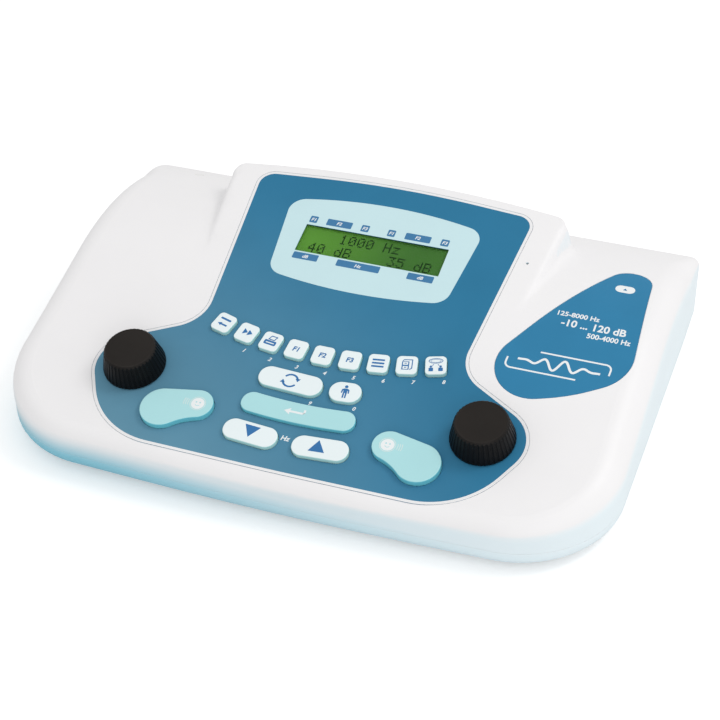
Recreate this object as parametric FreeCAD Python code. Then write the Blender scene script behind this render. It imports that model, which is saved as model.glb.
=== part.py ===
import FreeCAD, Part
import math
import os
from FreeCAD import Placement, Rotation, Vector

# Desk audiometer. Millimetres, +Z up, +Y to the back, +X to the right as the user sees it.
# The origin is on the table, under the middle of the housing.
#
# Panel features are drawn in the panel's own frame: x to the right, y up the slope, z out of the
# panel, with its origin in the middle of the display window. on_panel() puts them in place.

# ---------------------------------------------------------------- housing
FOOT_STAND = 3.0             # clear height under the housing
HOUSING_HALF_WIDTH = 194.5
PANEL_TILT = 14.5            # degrees, slope of the panel
WINDOW_HEIGHT = 76.5         # window centre above the housing's underside
WINDOW_TO_FRONT = 179.2      # window centre to the front of the housing, in plan
WINDOW_TO_BACK = 97.0        # window centre to the back wall, in plan
FRONT_SWEEP = 1.94           # degrees, the front edge falls back to each side of its crown
FRONT_CROWN_RADIUS = 2400.0
FRONT_CORNER = 65.0          # corner radii in plan
BACK_CORNER = 8.0
BACK_TAPER = 0.5             # the sides lean in by this much over the stretch before the back
BACK_STRETCH = 38.0          # length of that stretch
WALL = 2.5                   # moulded wall
FRONT_EDGE_ROUND = 12.0      # rounding of the top edge along the front
SIDE_EDGE_ROUND = 17.0       # along the sides, up to the stretch before the back
BACK_EDGE_ROUND = 6.0        # and along the back
UNDER_ROUND = 12.0           # rounding of the lower edge
SPLIT_HEIGHT = 13.5          # parting line above the underside
SPLIT_GAP = 0.1
LIP_THICKNESS = 1.5          # locating lip of the lower shell inside the cover
LIP_HEIGHT = 4.0
FIT_GAP = 0.3                # gap around a piece that drops into a pocket

# ---------------------------------------------------------------- wings and display pod
ROLL_START = -35.0           # along the panel: where the wings start to roll down
ROLL_RADIUS = 170.0
POD_HALF_WIDTH = 114.5       # at POD_TAPER_FROM up the panel
POD_TAPER_FROM = 55.0
POD_TAPER = 0.095            # the pod narrows towards the user
POD_RIDGE = 63.5             # top back edge, along the panel
POD_BOW = 6.0                # that edge bows back by this much
POD_BOW_HALF = 96.0          # between these distances from the middle
POD_CORNER = 8.0
POD_RIM = 5.0                # rim radius
POD_ROOT = 7.0               # radius where the pod meets the wings
POD_WALL_ANGLE = 76.0        # degrees
POD_BACK_ANGLE = 66.0
POD_BLEND = 5.0              # softening of the back ridge and its foot
PATCH_BESIDE = 28.0          # the freeform patch reaches this far beyond the pod's sides
PATCH_BEHIND = 89.0          # and this far behind the window centre

# ---------------------------------------------------------------- panel overlay
OVERLAY_THICKNESS = 0.5
RECESS_DEPTH = 0.6
OVERLAY_MARGIN = 1.8         # plain border around the printed field
FIELD_CORNERS = (            # right half of the printed field, from the top: x, y, radius
    (93.2, 49.0, 10.0),
    (82.6, -80.6, 26.0),
    (144.5, -115.1, 25.0),
    (112.6, -175.2, 52.0),
)
FIELD_TOP = (57.0, 620.0)    # crown of the top edge: y, radius
FIELD_BOTTOM = (-176.2, 2300.0)
WINDOW_WIDTH = 96.2
WINDOW_DEPTH = 23.1

# ---------------------------------------------------------------- keys
KEY_RISE = 2.5               # above the panel
KEY_TRAVEL = 1.2
KEY_GAP = 0.35
KEY_EDGE = 0.7               # rounding of the top edge
FLANGE_WIDTH = 1.5
FLANGE_THICKNESS = 1.2
SQUARE_KEY = (13.0, 14.0, 3.0)      # width, depth, corner radius
ROW_KEYS = ("key_back", "key_fast", "key_print", "key_f1", "key_f2", "key_f3",
            "key_menu", "key_file", "key_patients")
KEY_ROW_Y = -90.4            # middle key of the row
KEY_ROW_RADIUS = 257.1       # the row is an arc about a point up the panel
KEY_ROW_PITCH = 17.43
CYCLE_KEY = (41.0, 14.8, 7.0)
CYCLE_PLACE = (-12.3, -113.7)
PERSON_KEY = (19.8, 14.6, 7.0)
PERSON_PLACE = (22.7, -113.5)
ENTER_WIDTH = 72.0
ENTER_DEPTH = 14.5
ENTER_Y = -135.4
ENTER_END_RADIUS = 6.8
ARROW_KEY = (34.6, 14.6, 7.0)
ARROW_PLACE = (22.0, -155.9)
PADDLE_BIG = (80.4, -151.9, 13.7)   # x, y, radius of the wide end
PADDLE_SMALL = (60.7, -144.6, 10.2)
PADDLE_WAIST = 34.0
PADDLE_RISE = 3.6
STEM_RADIUS = 1.6
STEM_GAP = 0.3

# ---------------------------------------------------------------- key board and switches
SWITCH_SIZE = 6.0
SWITCH_HEIGHT = 3.5
STEM_INTO_SWITCH = 0.8
WELL_DEPTH = 2.6
BOARD = 1.6                  # every circuit board
KEY_BOARD_HALF = (           # right half of the outline: x, y, corner radius
    (86.0, -70.0, 3.0),
    (88.0, -98.0, 3.0),
    (126.0, -106.0, 5.0),
    (126.0, -150.0, 10.0),
    (104.0, -167.0, 10.0),
)
KEY_POSTS = ((-54.0, -113.0), (54.0, -113.0), (-43.8, -144.0), (43.8, -144.0),
             (-112.0, -149.0), (112.0, -149.0))
POST_RADIUS = 2.6
PILOT_RADIUS = 1.2
SMALL_SCREW = (1.1, 2.4, 1.6, 5.0)  # shank radius, head radius, head height, length under the head
SCREW_CLEARANCE = 0.3

# ---------------------------------------------------------------- dials
KNOB_PLACE = (110.9, -124.5)
KNOB_BASE_RADIUS = 19.4
KNOB_TOP_RADIUS = 16.2
KNOB_HEIGHT = 16.7           # above the panel
KNOB_LIFT = 0.8              # gap under the knob
KNOB_FLUTES = 40
FLUTE_RADIUS = 0.75
KNOB_SHELL = 2.4
KNOB_HUB_RADIUS = 6.0
SHAFT_RADIUS = 3.0
SHAFT_RUNNING_GAP = 0.05
SHAFT_FLAT = 2.3             # axis to the flat of the shaft
BUSHING_RADIUS = 3.6
BUSHING_RISE = 4.6           # above the cover's recess floor
ENCODER_SIZE = 12.4
NUT_ACROSS_FLATS = 10.0
NUT_HEIGHT = 2.0
WASHER = (6.4, 0.5)          # outer radius, thickness

# ---------------------------------------------------------------- display
PANE = (104.0, 31.0, 0.8)    # clear window pane: width, depth, thickness
PANE_LEDGE = 1.5             # ledge that carries it
LCD_RIM = 1.2                # metal rim around the glass
LCD_RIM_DROP = 0.2
LCD_GLASS_DROP = 0.3
LCD_STEP = 4.0               # the lower part of the module is wider by this much each side
LCD_GLASS_THICKNESS = 2.4
LCD_DEPTH = 5.6              # module below the cover's wall, down to its board
LCD_BOARD = (122.0, 44.0)
LCD_HOLES = (115.0, 37.0)
SCREW_HEAD_GAP = 0.05

# ---------------------------------------------------------------- wing label
LABEL_INNER = 72.6           # its front inner corner from the middle of the housing
LABEL_FROM_SIDE = 12.7       # its outer corner from the housing's side
LABEL_CORNERS = (            # share of the way out, y from the window centre in plan, radius
    (0.922, 62.5, 13.5),
    (1.0, -60.2, 28.1),
    (0.709, -80.1, 108.0),
    (0.0, -105.0, 23.6),
)

# ---------------------------------------------------------------- talkback microphone
MIC_PLACE = (99.0, 12.0)
MIC_HOLE = 0.9
MIC_RADIUS = 3.0
MIC_LENGTH = 5.0
MIC_RING = 1.5

# ---------------------------------------------------------------- cover screws, feet
BACK_SCREW = (20.5, 20.0)    # from the housing's side and back
MIDDLE_SCREW = (18.5, 130.0)
FRONT_SCREW = (44.5, 46.0)   # from the side and the front
COVER_POST = 4.6
COVER_PILOT = 1.5
TRAY_POST = 5.6
TRAY_POST_TOP = 12.0         # above the underside
COUNTERBORE = (3.6, 5.5)     # radius, depth
COVER_SCREW = (1.4, 3.1, 2.2, 17.0)
FOOT_RADIUS = 9.0
FOOT_POCKET = 0.6
BACK_FOOT = 30.0             # from the back; the front feet cover the front screws

# ---------------------------------------------------------------- rear connectors
REAR_WINDOW = (220.0, 23.0, 3.0)    # width, height, corner radius
REAR_CENTRE_HEIGHT = 21.5           # above the underside
REAR_PLATE = (230.0, 29.0, 2.0)
REAR_RIB = 3.0
JACK_X = (-98.0, -74.0, -50.0, -26.0, -2.0)
JACK_NAMES = ("phone_jack_left", "phone_jack_right", "bone_jack", "response_jack", "microphone_jack")
JACK_BORE = 3.25
JACK_NOSE = 4.7
JACK_REACH = 2.3             # nose beyond the plate
JACK_BODY = (15.0, 24.0)     # width, length behind the plate
JACK_NUT = (11.5, 1.9)       # across flats, height
JACK_BORE_EXTRA = 2.0        # solid end of the body
SERIAL_X = 33.0
SERIAL_SHELL = (16.6, 8.0, 2.3)     # width, height, reach beyond the plate
SERIAL_FLANGE = (30.8, 12.4, 1.0)
SERIAL_BODY = (19.0, 10.6, 9.0)
SERIAL_POST_PITCH = 25.0
SERIAL_POST_FLATS = 5.0
PIN_HOLE = 0.55
PIN_PITCH = 2.76
INLET_X = 62.0
INLET_NOSE = 4.2
INLET_BORE = 2.8
INLET_PIN = 1.0
INLET_BODY = (11.0, 13.0)
ROCKER_X = 90.0
ROCKER_CUTOUT = (19.0, 13.0)
ROCKER_BEZEL = (22.0, 15.6, 1.2)
ROCKER_WALL = 1.0
ROCKER_BODY_DEPTH = 15.0
ROCKER_GAP = 0.35
ROCKER_SWING = 8.0           # degrees each side of the middle
ROCKER_CROWN = 0.4           # crown beyond the plate
ROCKER_PIVOT_DEPTH = 5.0
ROCKER_PIN_RADIUS = 1.0

# ---------------------------------------------------------------- main board
MAIN_BOARD = (300.0, -36.0, 12.0)   # width, front edge and distance of the back edge from the plate
BOARD_STAND = 6.0
BOARD_POSTS = ((-138.0, -26.0), (138.0, -26.0), (0.0, -26.0), (-138.0, 96.0), (138.0, 96.0))
CHIPS = (                    # x, y, width, depth, height
    (-70.0, 20.0, 24.0, 24.0, 2.6),
    (-20.0, 10.0, 18.0, 12.0, 2.4),
    (30.0, 30.0, 14.0, 20.0, 2.4),
    (75.0, 5.0, 12.0, 9.0, 2.0),
    (-105.0, -5.0, 12.0, 9.0, 2.0),
    (-30.0, 60.0, 10.0, 8.0, 2.0),
)
CAPACITORS = (               # x, y, radius, height
    (96.0, 62.0, 5.0, 14.0),
    (110.0, 62.0, 5.0, 14.0),
    (104.0, 44.0, 6.3, 16.0),
    (122.0, 44.0, 4.0, 11.0),
)
TRANSFORMERS = ((-98.0, 62.0), (-66.0, 62.0))
TRANSFORMER_SIZE = (20.0, 17.0, 15.0)
BATTERY = (60.0, 52.0, 10.2, 3.4)   # x, y, radius, thickness of the clock battery
BATTERY_HOLDER = (24.0, 2.0)
RIBBON = (26.0, 0.9)         # flat cables: width, thickness
RIBBON_BEND = 6.0
HEADER = (30.0, 6.0, 5.0)    # cable header: width, depth, height

# ---------------------------------------------------------------- places worked out from the sizes
HOUSING_DEPTH = WINDOW_TO_FRONT + WINDOW_TO_BACK
HALF_DEPTH = HOUSING_DEPTH / 2
SIDE_BEND_RADIUS = 20 * BACK_STRETCH   # where the sides start to lean in
WINDOW_Y = HALF_DEPTH - WINDOW_TO_BACK
WINDOW_Z = FOOT_STAND + WINDOW_HEIGHT
UNDERSIDE = FOOT_STAND
FLOOR_TOP = UNDERSIDE + WALL
SPLIT_Z = UNDERSIDE + SPLIT_HEIGHT
TILT = math.radians(PANEL_TILT)
COS_TILT = math.cos(TILT)
SIN_TILT = math.sin(TILT)
TAN_TILT = math.tan(TILT)
WALL_ANGLE = math.radians(POD_WALL_ANGLE)
BACK_ANGLE = math.radians(POD_BACK_ANGLE)
INNER = -WALL                              # underside of the cover's wall, in the panel frame
FLANGE_TOP = INNER - KEY_GAP
FLANGE_BOTTOM = FLANGE_TOP - FLANGE_THICKNESS
SWITCH_TOP = FLANGE_BOTTOM - KEY_TRAVEL - 2 * KEY_GAP
BOARD_TOP = SWITCH_TOP - SWITCH_HEIGHT
BOARD_BOTTOM = BOARD_TOP - BOARD
REAR_OUTER = HALF_DEPTH - WALL             # outer face of the connector plate
REAR_INNER = REAR_OUTER - REAR_PLATE[2]
REAR_Z = UNDERSIDE + REAR_CENTRE_HEIGHT
MAIN_TOP = FLOOR_TOP + BOARD_STAND + BOARD
PATCH_HALF_WIDTH = POD_HALF_WIDTH + PATCH_BESIDE
LABEL_REACH = HOUSING_HALF_WIDTH - LABEL_FROM_SIDE - LABEL_INNER
TALL = 2 * WINDOW_HEIGHT                   # cuts that go right through
TINY = 1e-6


def both_sides(from_side, y):
    """A place at a distance from the housing's side, left and right."""
    x = HOUSING_HALF_WIDTH - from_side
    return ((-x, y), (x, y))


COVER_SCREWS = (both_sides(BACK_SCREW[0], HALF_DEPTH - BACK_SCREW[1])
                + both_sides(MIDDLE_SCREW[0], HALF_DEPTH - MIDDLE_SCREW[1])
                + both_sides(FRONT_SCREW[0], FRONT_SCREW[1] - HALF_DEPTH))
FEET = (both_sides(FRONT_SCREW[0], FRONT_SCREW[1] - HALF_DEPTH)
        + both_sides(FRONT_SCREW[0], HALF_DEPTH - BACK_FOOT))

# ---------------------------------------------------------------- small helpers
def rounded_wire(corners):
    """Closed wire through corners (x, y, radius), each rounded by an arc tangent to both sides."""
    count = len(corners)
    arcs = []
    for i, (x, y, radius) in enumerate(corners):
        corner = Vector(x, y, 0)
        back = (Vector(*corners[i - 1][:2], 0) - corner).normalize()
        ahead = (Vector(*corners[(i + 1) % count][:2], 0) - corner).normalize()
        half = back.getAngle(ahead) / 2
        reach = radius / math.tan(half)
        middle = (back + ahead).normalize() * (radius / math.sin(half) - radius)
        arcs.append((corner + back * reach, corner + middle, corner + ahead * reach))
    edges = []
    for i, (start, middle, end) in enumerate(arcs):
        edges.append(Part.Arc(start, middle, end).toShape())
        following = arcs[(i + 1) % count][0]
        if (following - end).Length > TINY:
            edges.append(Part.makeLine(end, following))
    return Part.Wire(edges)


def mirrored(right_half):
    """Corners of a symmetric outline from its right half, listed from the top."""
    return list(right_half) + [(-x, y, radius) for x, y, radius in reversed(right_half)]


def box_corners(width, depth, radius):
    """Corners of a rounded rectangle about the origin."""
    x = width / 2
    y = depth / 2
    return [(x, y, radius), (x, -y, radius), (-x, -y, radius), (-x, y, radius)]


def slab(wire, low, high):
    """Straight extrusion of a flat wire between two heights."""
    solid = Part.Face(wire).extrude(Vector(0, 0, high - low))
    solid.translate(Vector(0, 0, low))
    return solid


def widened(wire, distance):
    """The outline grown outwards, or inwards if distance is negative."""
    if abs(distance) < TINY:
        return wire
    return wire.makeOffset2D(distance, join=0)


def rod(radius, low, high, x=0.0, y=0.0):
    return Part.makeCylinder(radius, high - low, Vector(x, y, low))


def block(x0, x1, y0, y1, z0, z1):
    return Part.makeBox(x1 - x0, y1 - y0, z1 - z0, Vector(x0, y0, z0))


def centred_block(x, y, width, depth, low, high):
    return block(x - width / 2, x + width / 2, y - depth / 2, y + depth / 2, low, high)


def hexagon(across_flats, low, high, x=0.0, y=0.0):
    """Hexagonal prism about a vertical axis."""
    radius = across_flats / math.sqrt(3)
    points = []
    for k in range(7):
        angle = math.radians(60 * k)
        points.append(Vector(x + radius * math.cos(angle), y + radius * math.sin(angle), 0))
    return slab(Part.makePolygon(points), low, high)


def on_panel(shape):
    """Puts a shape drawn in the panel's frame in its place on the audiometer."""
    placed = shape.copy()
    frame = Placement(Vector(0, WINDOW_Y, WINDOW_Z), Rotation(Vector(1, 0, 0), PANEL_TILT))
    placed.Placement = frame.multiply(shape.Placement)
    return placed


def facing_back(shape, x, z):
    """Turns a shape drawn along +Z so that it points out of the back wall, plate face at zero."""
    placed = shape.copy()
    frame = Placement(Vector(x, REAR_OUTER, z), Rotation(Vector(1, 0, 0), -90))
    placed.Placement = frame.multiply(shape.Placement)
    return placed


def panel_height(y):
    """Height of the panel plane above the table at a place in plan."""
    return WINDOW_Z + (y - WINDOW_Y) * TAN_TILT


def screw(shank_radius, head_radius, head_height, length, x, y, head_z, upwards=True):
    """Pan-head screw with its head face at head_z and its shank going up or down from there."""
    way = 1 if upwards else -1
    shank = Part.makeCylinder(shank_radius, length, Vector(x, y, head_z), Vector(0, 0, way))
    head = Part.makeCylinder(head_radius, head_height, Vector(x, y, head_z), Vector(0, 0, -way))
    slot = centred_block(x, y, head_radius * 1.4, 0.8, -head_height / 3, head_height / 3)
    slot.translate(Vector(0, 0, head_z - way * head_height))
    return shank.fuse(head).cut(slot).removeSplitter()


def compound(solids):
    return Part.makeCompound(solids)


# ---------------------------------------------------------------- housing shape
def front_side(x, inset):
    """Where the straight sides of the swept front lie, at x from the middle."""
    sweep = math.radians(FRONT_SWEEP)
    above_arc = (FRONT_CROWN_RADIUS - inset) * (1 / math.cos(sweep) - 1)
    return -HALF_DEPTH + inset - above_arc + x * math.tan(sweep)


def housing_outline(inset):
    """Plan outline of the housing, moved inwards by inset."""
    half = HOUSING_HALF_WIDTH - inset
    back = HALF_DEPTH - inset
    crown = front_side(0, inset)
    corner = front_side(half, inset)
    return rounded_wire([
        (0, crown, FRONT_CROWN_RADIUS - inset),
        (half, corner, FRONT_CORNER - inset),
        (half, HALF_DEPTH - BACK_STRETCH, SIDE_BEND_RADIUS),
        (half - BACK_TAPER, back, BACK_CORNER - inset),
        (BACK_TAPER - half, back, BACK_CORNER - inset),
        (-half, HALF_DEPTH - BACK_STRETCH, SIDE_BEND_RADIUS),
        (-half, corner, FRONT_CORNER - inset),
    ])


def roll_centre():
    """Axis of the wings' roll-off, in the YZ plane."""
    y = WINDOW_Y + ROLL_START * COS_TILT + ROLL_RADIUS * SIN_TILT
    z = WINDOW_Z + ROLL_START * SIN_TILT - ROLL_RADIUS * COS_TILT
    return y, z


def wing_height(y, inset):
    """Heights of the panel plane and of the wings at a place in plan, moved inwards by inset."""
    axis_y, axis_z = roll_centre()
    radius = ROLL_RADIUS - inset
    plane = panel_height(y) - inset / COS_TILT
    if y <= axis_y - radius * SIN_TILT:
        return plane, plane
    return plane, axis_z + math.sqrt(radius ** 2 - (y - axis_y) ** 2)


def wing_lump(inset):
    """Everything under the plane and its roll-off, as wide as needed."""
    axis_y, axis_z = roll_centre()
    radius = ROLL_RADIUS - inset
    reach = HALF_DEPTH + BACK_CORNER
    end = math.asin((reach - axis_y) / radius)
    middle = (end - TILT) / 2

    def at(angle):
        return Vector(0, axis_y + radius * math.sin(angle), axis_z + radius * math.cos(angle))

    start = at(-TILT)
    front = Vector(0, -HOUSING_DEPTH, start.z - (start.y + HOUSING_DEPTH) * TAN_TILT)
    low = -TALL
    edges = [
        Part.makeLine(front, start),
        Part.Arc(start, at(middle), at(end)).toShape(),
        Part.makeLine(at(end), Vector(0, reach, low)),
        Part.makeLine(Vector(0, reach, low), Vector(0, front.y, low)),
        Part.makeLine(Vector(0, front.y, low), front),
    ]
    profile = Part.Wire(edges)
    profile.translate(Vector(-2 * HOUSING_HALF_WIDTH, 0, 0))
    return Part.Face(profile).extrude(Vector(4 * HOUSING_HALF_WIDTH, 0, 0))


def edge_round(y, inset):
    """Rounding of the top edge at a place in plan, between those of the front, the sides and the back."""
    front = front_side(HOUSING_HALF_WIDTH, 0)
    bend = HALF_DEPTH - BACK_STRETCH
    if y < bend:
        share = min(max((y - front) / FRONT_CORNER, 0.0), 1.0)
        return FRONT_EDGE_ROUND + (SIDE_EDGE_ROUND - FRONT_EDGE_ROUND) * share - inset
    share = min((y - bend) / (BACK_STRETCH - BACK_CORNER), 1.0)
    return SIDE_EDGE_ROUND + (BACK_EDGE_ROUND - SIDE_EDGE_ROUND) * share - inset


def top_ring(body, inset):
    """Edges round the top: number, start and end of each, all the same way round."""
    loose = []
    for number, edge in enumerate(body.Edges, 1):
        bounds = edge.BoundBox
        upright = bounds.XLength < TINY and bounds.YLength < TINY
        crease = bounds.YLength < TINY and bounds.YMax < HALF_DEPTH - inset - 1
        if bounds.ZMin > UNDERSIDE + 1 and not upright and not crease:
            loose.append((number, edge.valueAt(edge.FirstParameter), edge.valueAt(edge.LastParameter)))
    ring = [loose.pop(0)]
    while loose:
        here = ring[-1][2]
        near = min(loose, key=lambda item: min((item[1] - here).Length, (item[2] - here).Length))
        loose.remove(near)
        number, start, end = near
        ring.append(near if (start - here).Length < (end - here).Length else (number, end, start))
    return ring


def rounded_body(inset):
    """Outer form without the pod, its top edge rounded by a radius that changes along it."""
    body = slab(housing_outline(inset), UNDERSIDE, UNDERSIDE + TALL).common(wing_lump(inset))
    document = FreeCAD.newDocument("rounding")
    source = document.addObject("Part::Feature", "source")
    source.Shape = body
    fillet = document.addObject("Part::Fillet", "fillet")
    fillet.Base = source
    fillet.Edges = [(number, edge_round(start.y, inset), edge_round(end.y, inset))
                    for number, start, end in top_ring(body, inset)]
    document.recompute()
    result = fillet.Shape.copy()
    FreeCAD.closeDocument(document.Name)
    return result


def pod_side(y, inset):
    """Half the pod's width at a place in plan."""
    along = (y - WINDOW_Y) / COS_TILT
    return POD_HALF_WIDTH - inset - (POD_TAPER_FROM - along) * POD_TAPER


def pod_ridge(x, side):
    """Where the pod's top ends, along the panel, at x from the middle."""
    bow_radius = (POD_BOW_HALF ** 2 + POD_BOW ** 2) / (2 * POD_BOW)
    ridge = POD_RIDGE - bow_radius + math.sqrt(bow_radius ** 2 - min(x, side) ** 2)
    into = min(max(0.0, x - (side - POD_CORNER)), 0.9 * POD_CORNER)
    return ridge - POD_CORNER + math.sqrt(POD_CORNER ** 2 - into ** 2)


def wall_drop(distance, rise, rim, root):
    """Fall of the pod's side wall at a distance outside its rim: a rim arc, a straight wall, a root arc."""
    if distance <= 0 or rise <= 0:
        return 0.0
    cosine = max(math.cos(WALL_ANGLE), 1 - rise / (rim + root))
    angle = math.acos(cosine)
    straight = max(0.0, (rise - (rim + root) * (1 - cosine)) / math.sin(angle))
    rim_end = rim * math.sin(angle)
    wall_end = rim_end + straight * cosine
    foot = wall_end + root * math.sin(angle)
    if distance < rim_end:
        return rim - math.sqrt(rim ** 2 - distance ** 2)
    if distance < wall_end:
        return rim * (1 - cosine) + (distance - rim_end) * math.tan(angle)
    if distance < foot:
        return rise - root + math.sqrt(root ** 2 - (foot - distance) ** 2)
    return rise


def top_height(x, y, inset):
    """Height of the housing's top at a place in plan, with the pod standing out of the wings."""
    plane, wing = wing_height(y, inset)
    side = pod_side(y, inset)
    ridge_y = WINDOW_Y + pod_ridge(abs(x), side + inset) * COS_TILT
    slope = panel_height(ridge_y) - (y - ridge_y) * math.tan(BACK_ANGLE) - inset / math.cos(BACK_ANGLE)
    above_plane = plane - wing
    above_slope = slope - wing
    if above_slope < -POD_BLEND:
        above_slope = 0.0
    elif above_slope < POD_BLEND:
        above_slope = (above_slope + POD_BLEND) ** 2 / (4 * POD_BLEND)
    rise = min(above_plane, above_slope)
    if above_plane > POD_BLEND:
        rise -= max(POD_BLEND - abs(above_plane - above_slope), 0.0) ** 2 / (4 * POD_BLEND)
    rise = max(rise, 0.0)
    rim_start = side - POD_RIM * math.tan(WALL_ANGLE / 2)
    rim = max(POD_RIM - inset, POD_RIM / 6)
    return wing + rise - wall_drop(abs(x) - rim_start, rise, rim, POD_ROOT + inset)


def patch_columns(y, inset):
    """The patch's lines across the panel at y: they follow the pod's side walls."""
    side = pod_side(y, inset)
    within = [0, 0.2, 0.4, 0.58, 0.72, 0.82, 0.89]
    beside = [-8, -6.5, -5, -3.8, -2.6, -1.4, -0.2, 1, 2.2, 3.4, 4.6, 5.8, 7, 8.5, 10, 12, 14.5]
    half = [side * share for share in within] + [side + step for step in beside]
    last = half[-1]
    half += [last + (PATCH_HALF_WIDTH - last) * share for share in (0.3, 0.62, 1.0)]
    return [-x for x in reversed(half[1:])] + half


def patch_rows(inset):
    """The patch's lines along the panel: wide on the smooth part, close at the back ridge."""
    coarse = 6.0
    close = 1.6
    start = roll_centre()[0] - (ROLL_RADIUS - inset) * SIN_TILT
    change = WINDOW_Y + POD_RIDGE - POD_CORNER - POD_BOW
    end = WINDOW_Y + PATCH_BEHIND
    wide = int((change - start) / coarse) + 1
    narrow = int((end - change) / close) + 1
    rows = [start + (change - start) * k / wide for k in range(wide)]
    return rows + [change + (end - change) * k / narrow for k in range(narrow + 1)]


def splined(rows, parameters):
    """Cubic curves through rows of points at common parameters: poles, knots and multiplicities."""
    curves = []
    for row in rows:
        curve = Part.BSplineCurve()
        curve.interpolate(Points=row, Parameters=parameters)
        curves.append(curve)
    poles = [curve.getPoles() for curve in curves]
    return poles, curves[0].getKnots(), curves[0].getMultiplicities()


def pod_patch(inset):
    """Freeform face that carries the pod and meets the wings all round its border."""
    rows = patch_rows(inset)
    grid = [[Vector(x, y, top_height(x, y, inset)) for x in patch_columns(y, inset)] for y in rows]
    across, u_knots, u_mults = splined(grid, patch_columns(WINDOW_Y, inset))
    poles, v_knots, v_mults = splined([list(column) for column in zip(*across)], rows)
    surface = Part.BSplineSurface()
    surface.buildFromPolesMultsKnots(poles, u_mults, v_mults, u_knots, v_knots, False, False, 3, 3)
    return surface.toShape()


def outer_form(inset):
    """The housing as one solid block: the cover's outside for inset 0, its inside for a wall."""
    depth = 12 * WALL
    patch = pod_patch(inset)
    pocket = patch.copy()
    pocket.translate(Vector(0, 0, -depth))
    body = rounded_body(inset).cut(pocket.extrude(Vector(0, 0, TALL)))
    return body.fuse([patch.extrude(Vector(0, 0, -depth))], 1e-3).removeSplitter()


# ---------------------------------------------------------------- outlines on the panel
def field_outline(grow):
    """Outline of the overlay's printed field, grown by a margin."""
    corners = [(0, FIELD_TOP[0], FIELD_TOP[1])]
    corners += list(FIELD_CORNERS)
    corners += [(0, FIELD_BOTTOM[0], FIELD_BOTTOM[1])]
    corners += [(-x, y, radius) for x, y, radius in reversed(FIELD_CORNERS)]
    return widened(rounded_wire(corners), grow)


def row_place(step):
    """Place and turn of a key on the curved row, step keys from the middle."""
    angle = step * KEY_ROW_PITCH / KEY_ROW_RADIUS
    x = KEY_ROW_RADIUS * math.sin(angle)
    y = KEY_ROW_Y + KEY_ROW_RADIUS * (1 - math.cos(angle))
    return x, y, math.degrees(angle)


def arc_turn(x, y):
    """Turn in degrees of a key that lies along the arcs of the key field."""
    centre = KEY_ROW_Y + KEY_ROW_RADIUS
    return math.degrees(math.atan2(x, centre - y))


def key_wire(size, x, y, turn):
    """Rounded rectangle turned about its middle and moved to its place."""
    wire = rounded_wire(box_corners(*size))
    wire.rotate(Vector(0, 0, 0), Vector(0, 0, 1), turn)
    wire.translate(Vector(x, y, 0))
    return wire


def enter_wire():
    """Band bent about the centre of the key row, with rounded ends."""
    centre_y = KEY_ROW_Y + KEY_ROW_RADIUS
    middle = centre_y - ENTER_Y
    outer = middle + ENTER_DEPTH / 2
    inner = middle - ENTER_DEPTH / 2
    angle = ENTER_WIDTH / 2 / middle

    def at(radius, turn):
        return Vector(radius * math.sin(turn), centre_y - radius * math.cos(turn), 0)

    edges = [
        Part.Arc(at(outer, -angle), at(outer, 0), at(outer, angle)).toShape(),
        Part.makeLine(at(outer, angle), at(inner, angle)),
        Part.Arc(at(inner, angle), at(inner, 0), at(inner, -angle)).toShape(),
        Part.makeLine(at(inner, -angle), at(outer, -angle)),
    ]
    band = Part.Face(Part.Wire(edges)).extrude(Vector(0, 0, 1))
    ends = [edge for edge in band.Edges if edge.BoundBox.ZLength > 0.5]
    rounded = band.makeFillet(ENTER_END_RADIUS, ends)
    faces = [face for face in rounded.Faces if face.BoundBox.ZMax < TINY]
    return faces[0].OuterWire


def paddle_wire(side):
    """Drop shape of a tone key: two round ends, a straight upper edge and a waisted lower edge."""
    big = Vector(PADDLE_BIG[0], PADDLE_BIG[1], 0)
    small = Vector(PADDLE_SMALL[0], PADDLE_SMALL[1], 0)
    big_radius = PADDLE_BIG[2]
    small_radius = PADDLE_SMALL[2]
    line = small - big
    length = line.Length
    heading = math.atan2(line.y, line.x)

    def polar(angle, radius):
        return Vector(radius * math.cos(angle), radius * math.sin(angle), 0)

    lean = math.acos((big_radius - small_radius) / length)
    upper = heading - lean
    reach_big = big_radius + PADDLE_WAIST
    reach_small = small_radius + PADDLE_WAIST
    swing = math.acos((reach_big ** 2 + length ** 2 - reach_small ** 2) / (2 * reach_big * length))
    waist = big + polar(heading + swing, reach_big)
    big_touch = big + (waist - big).normalize() * big_radius
    small_touch = small + (waist - small).normalize() * small_radius
    middle = ((big_touch + small_touch) * 0.5 - waist).normalize()
    big_upper = big + polar(upper, big_radius)
    small_upper = small + polar(upper, small_radius)
    edges = [
        Part.Arc(big_touch, big - polar(heading, big_radius), big_upper).toShape(),
        Part.makeLine(big_upper, small_upper),
        Part.Arc(small_upper, small + polar(heading, small_radius), small_touch).toShape(),
        Part.Arc(small_touch, waist + middle * PADDLE_WAIST, big_touch).toShape(),
    ]
    wire = Part.Wire(edges)
    if side < 0:
        wire = wire.mirror(Vector(0, 0, 0), Vector(1, 0, 0))
    return wire


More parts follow.
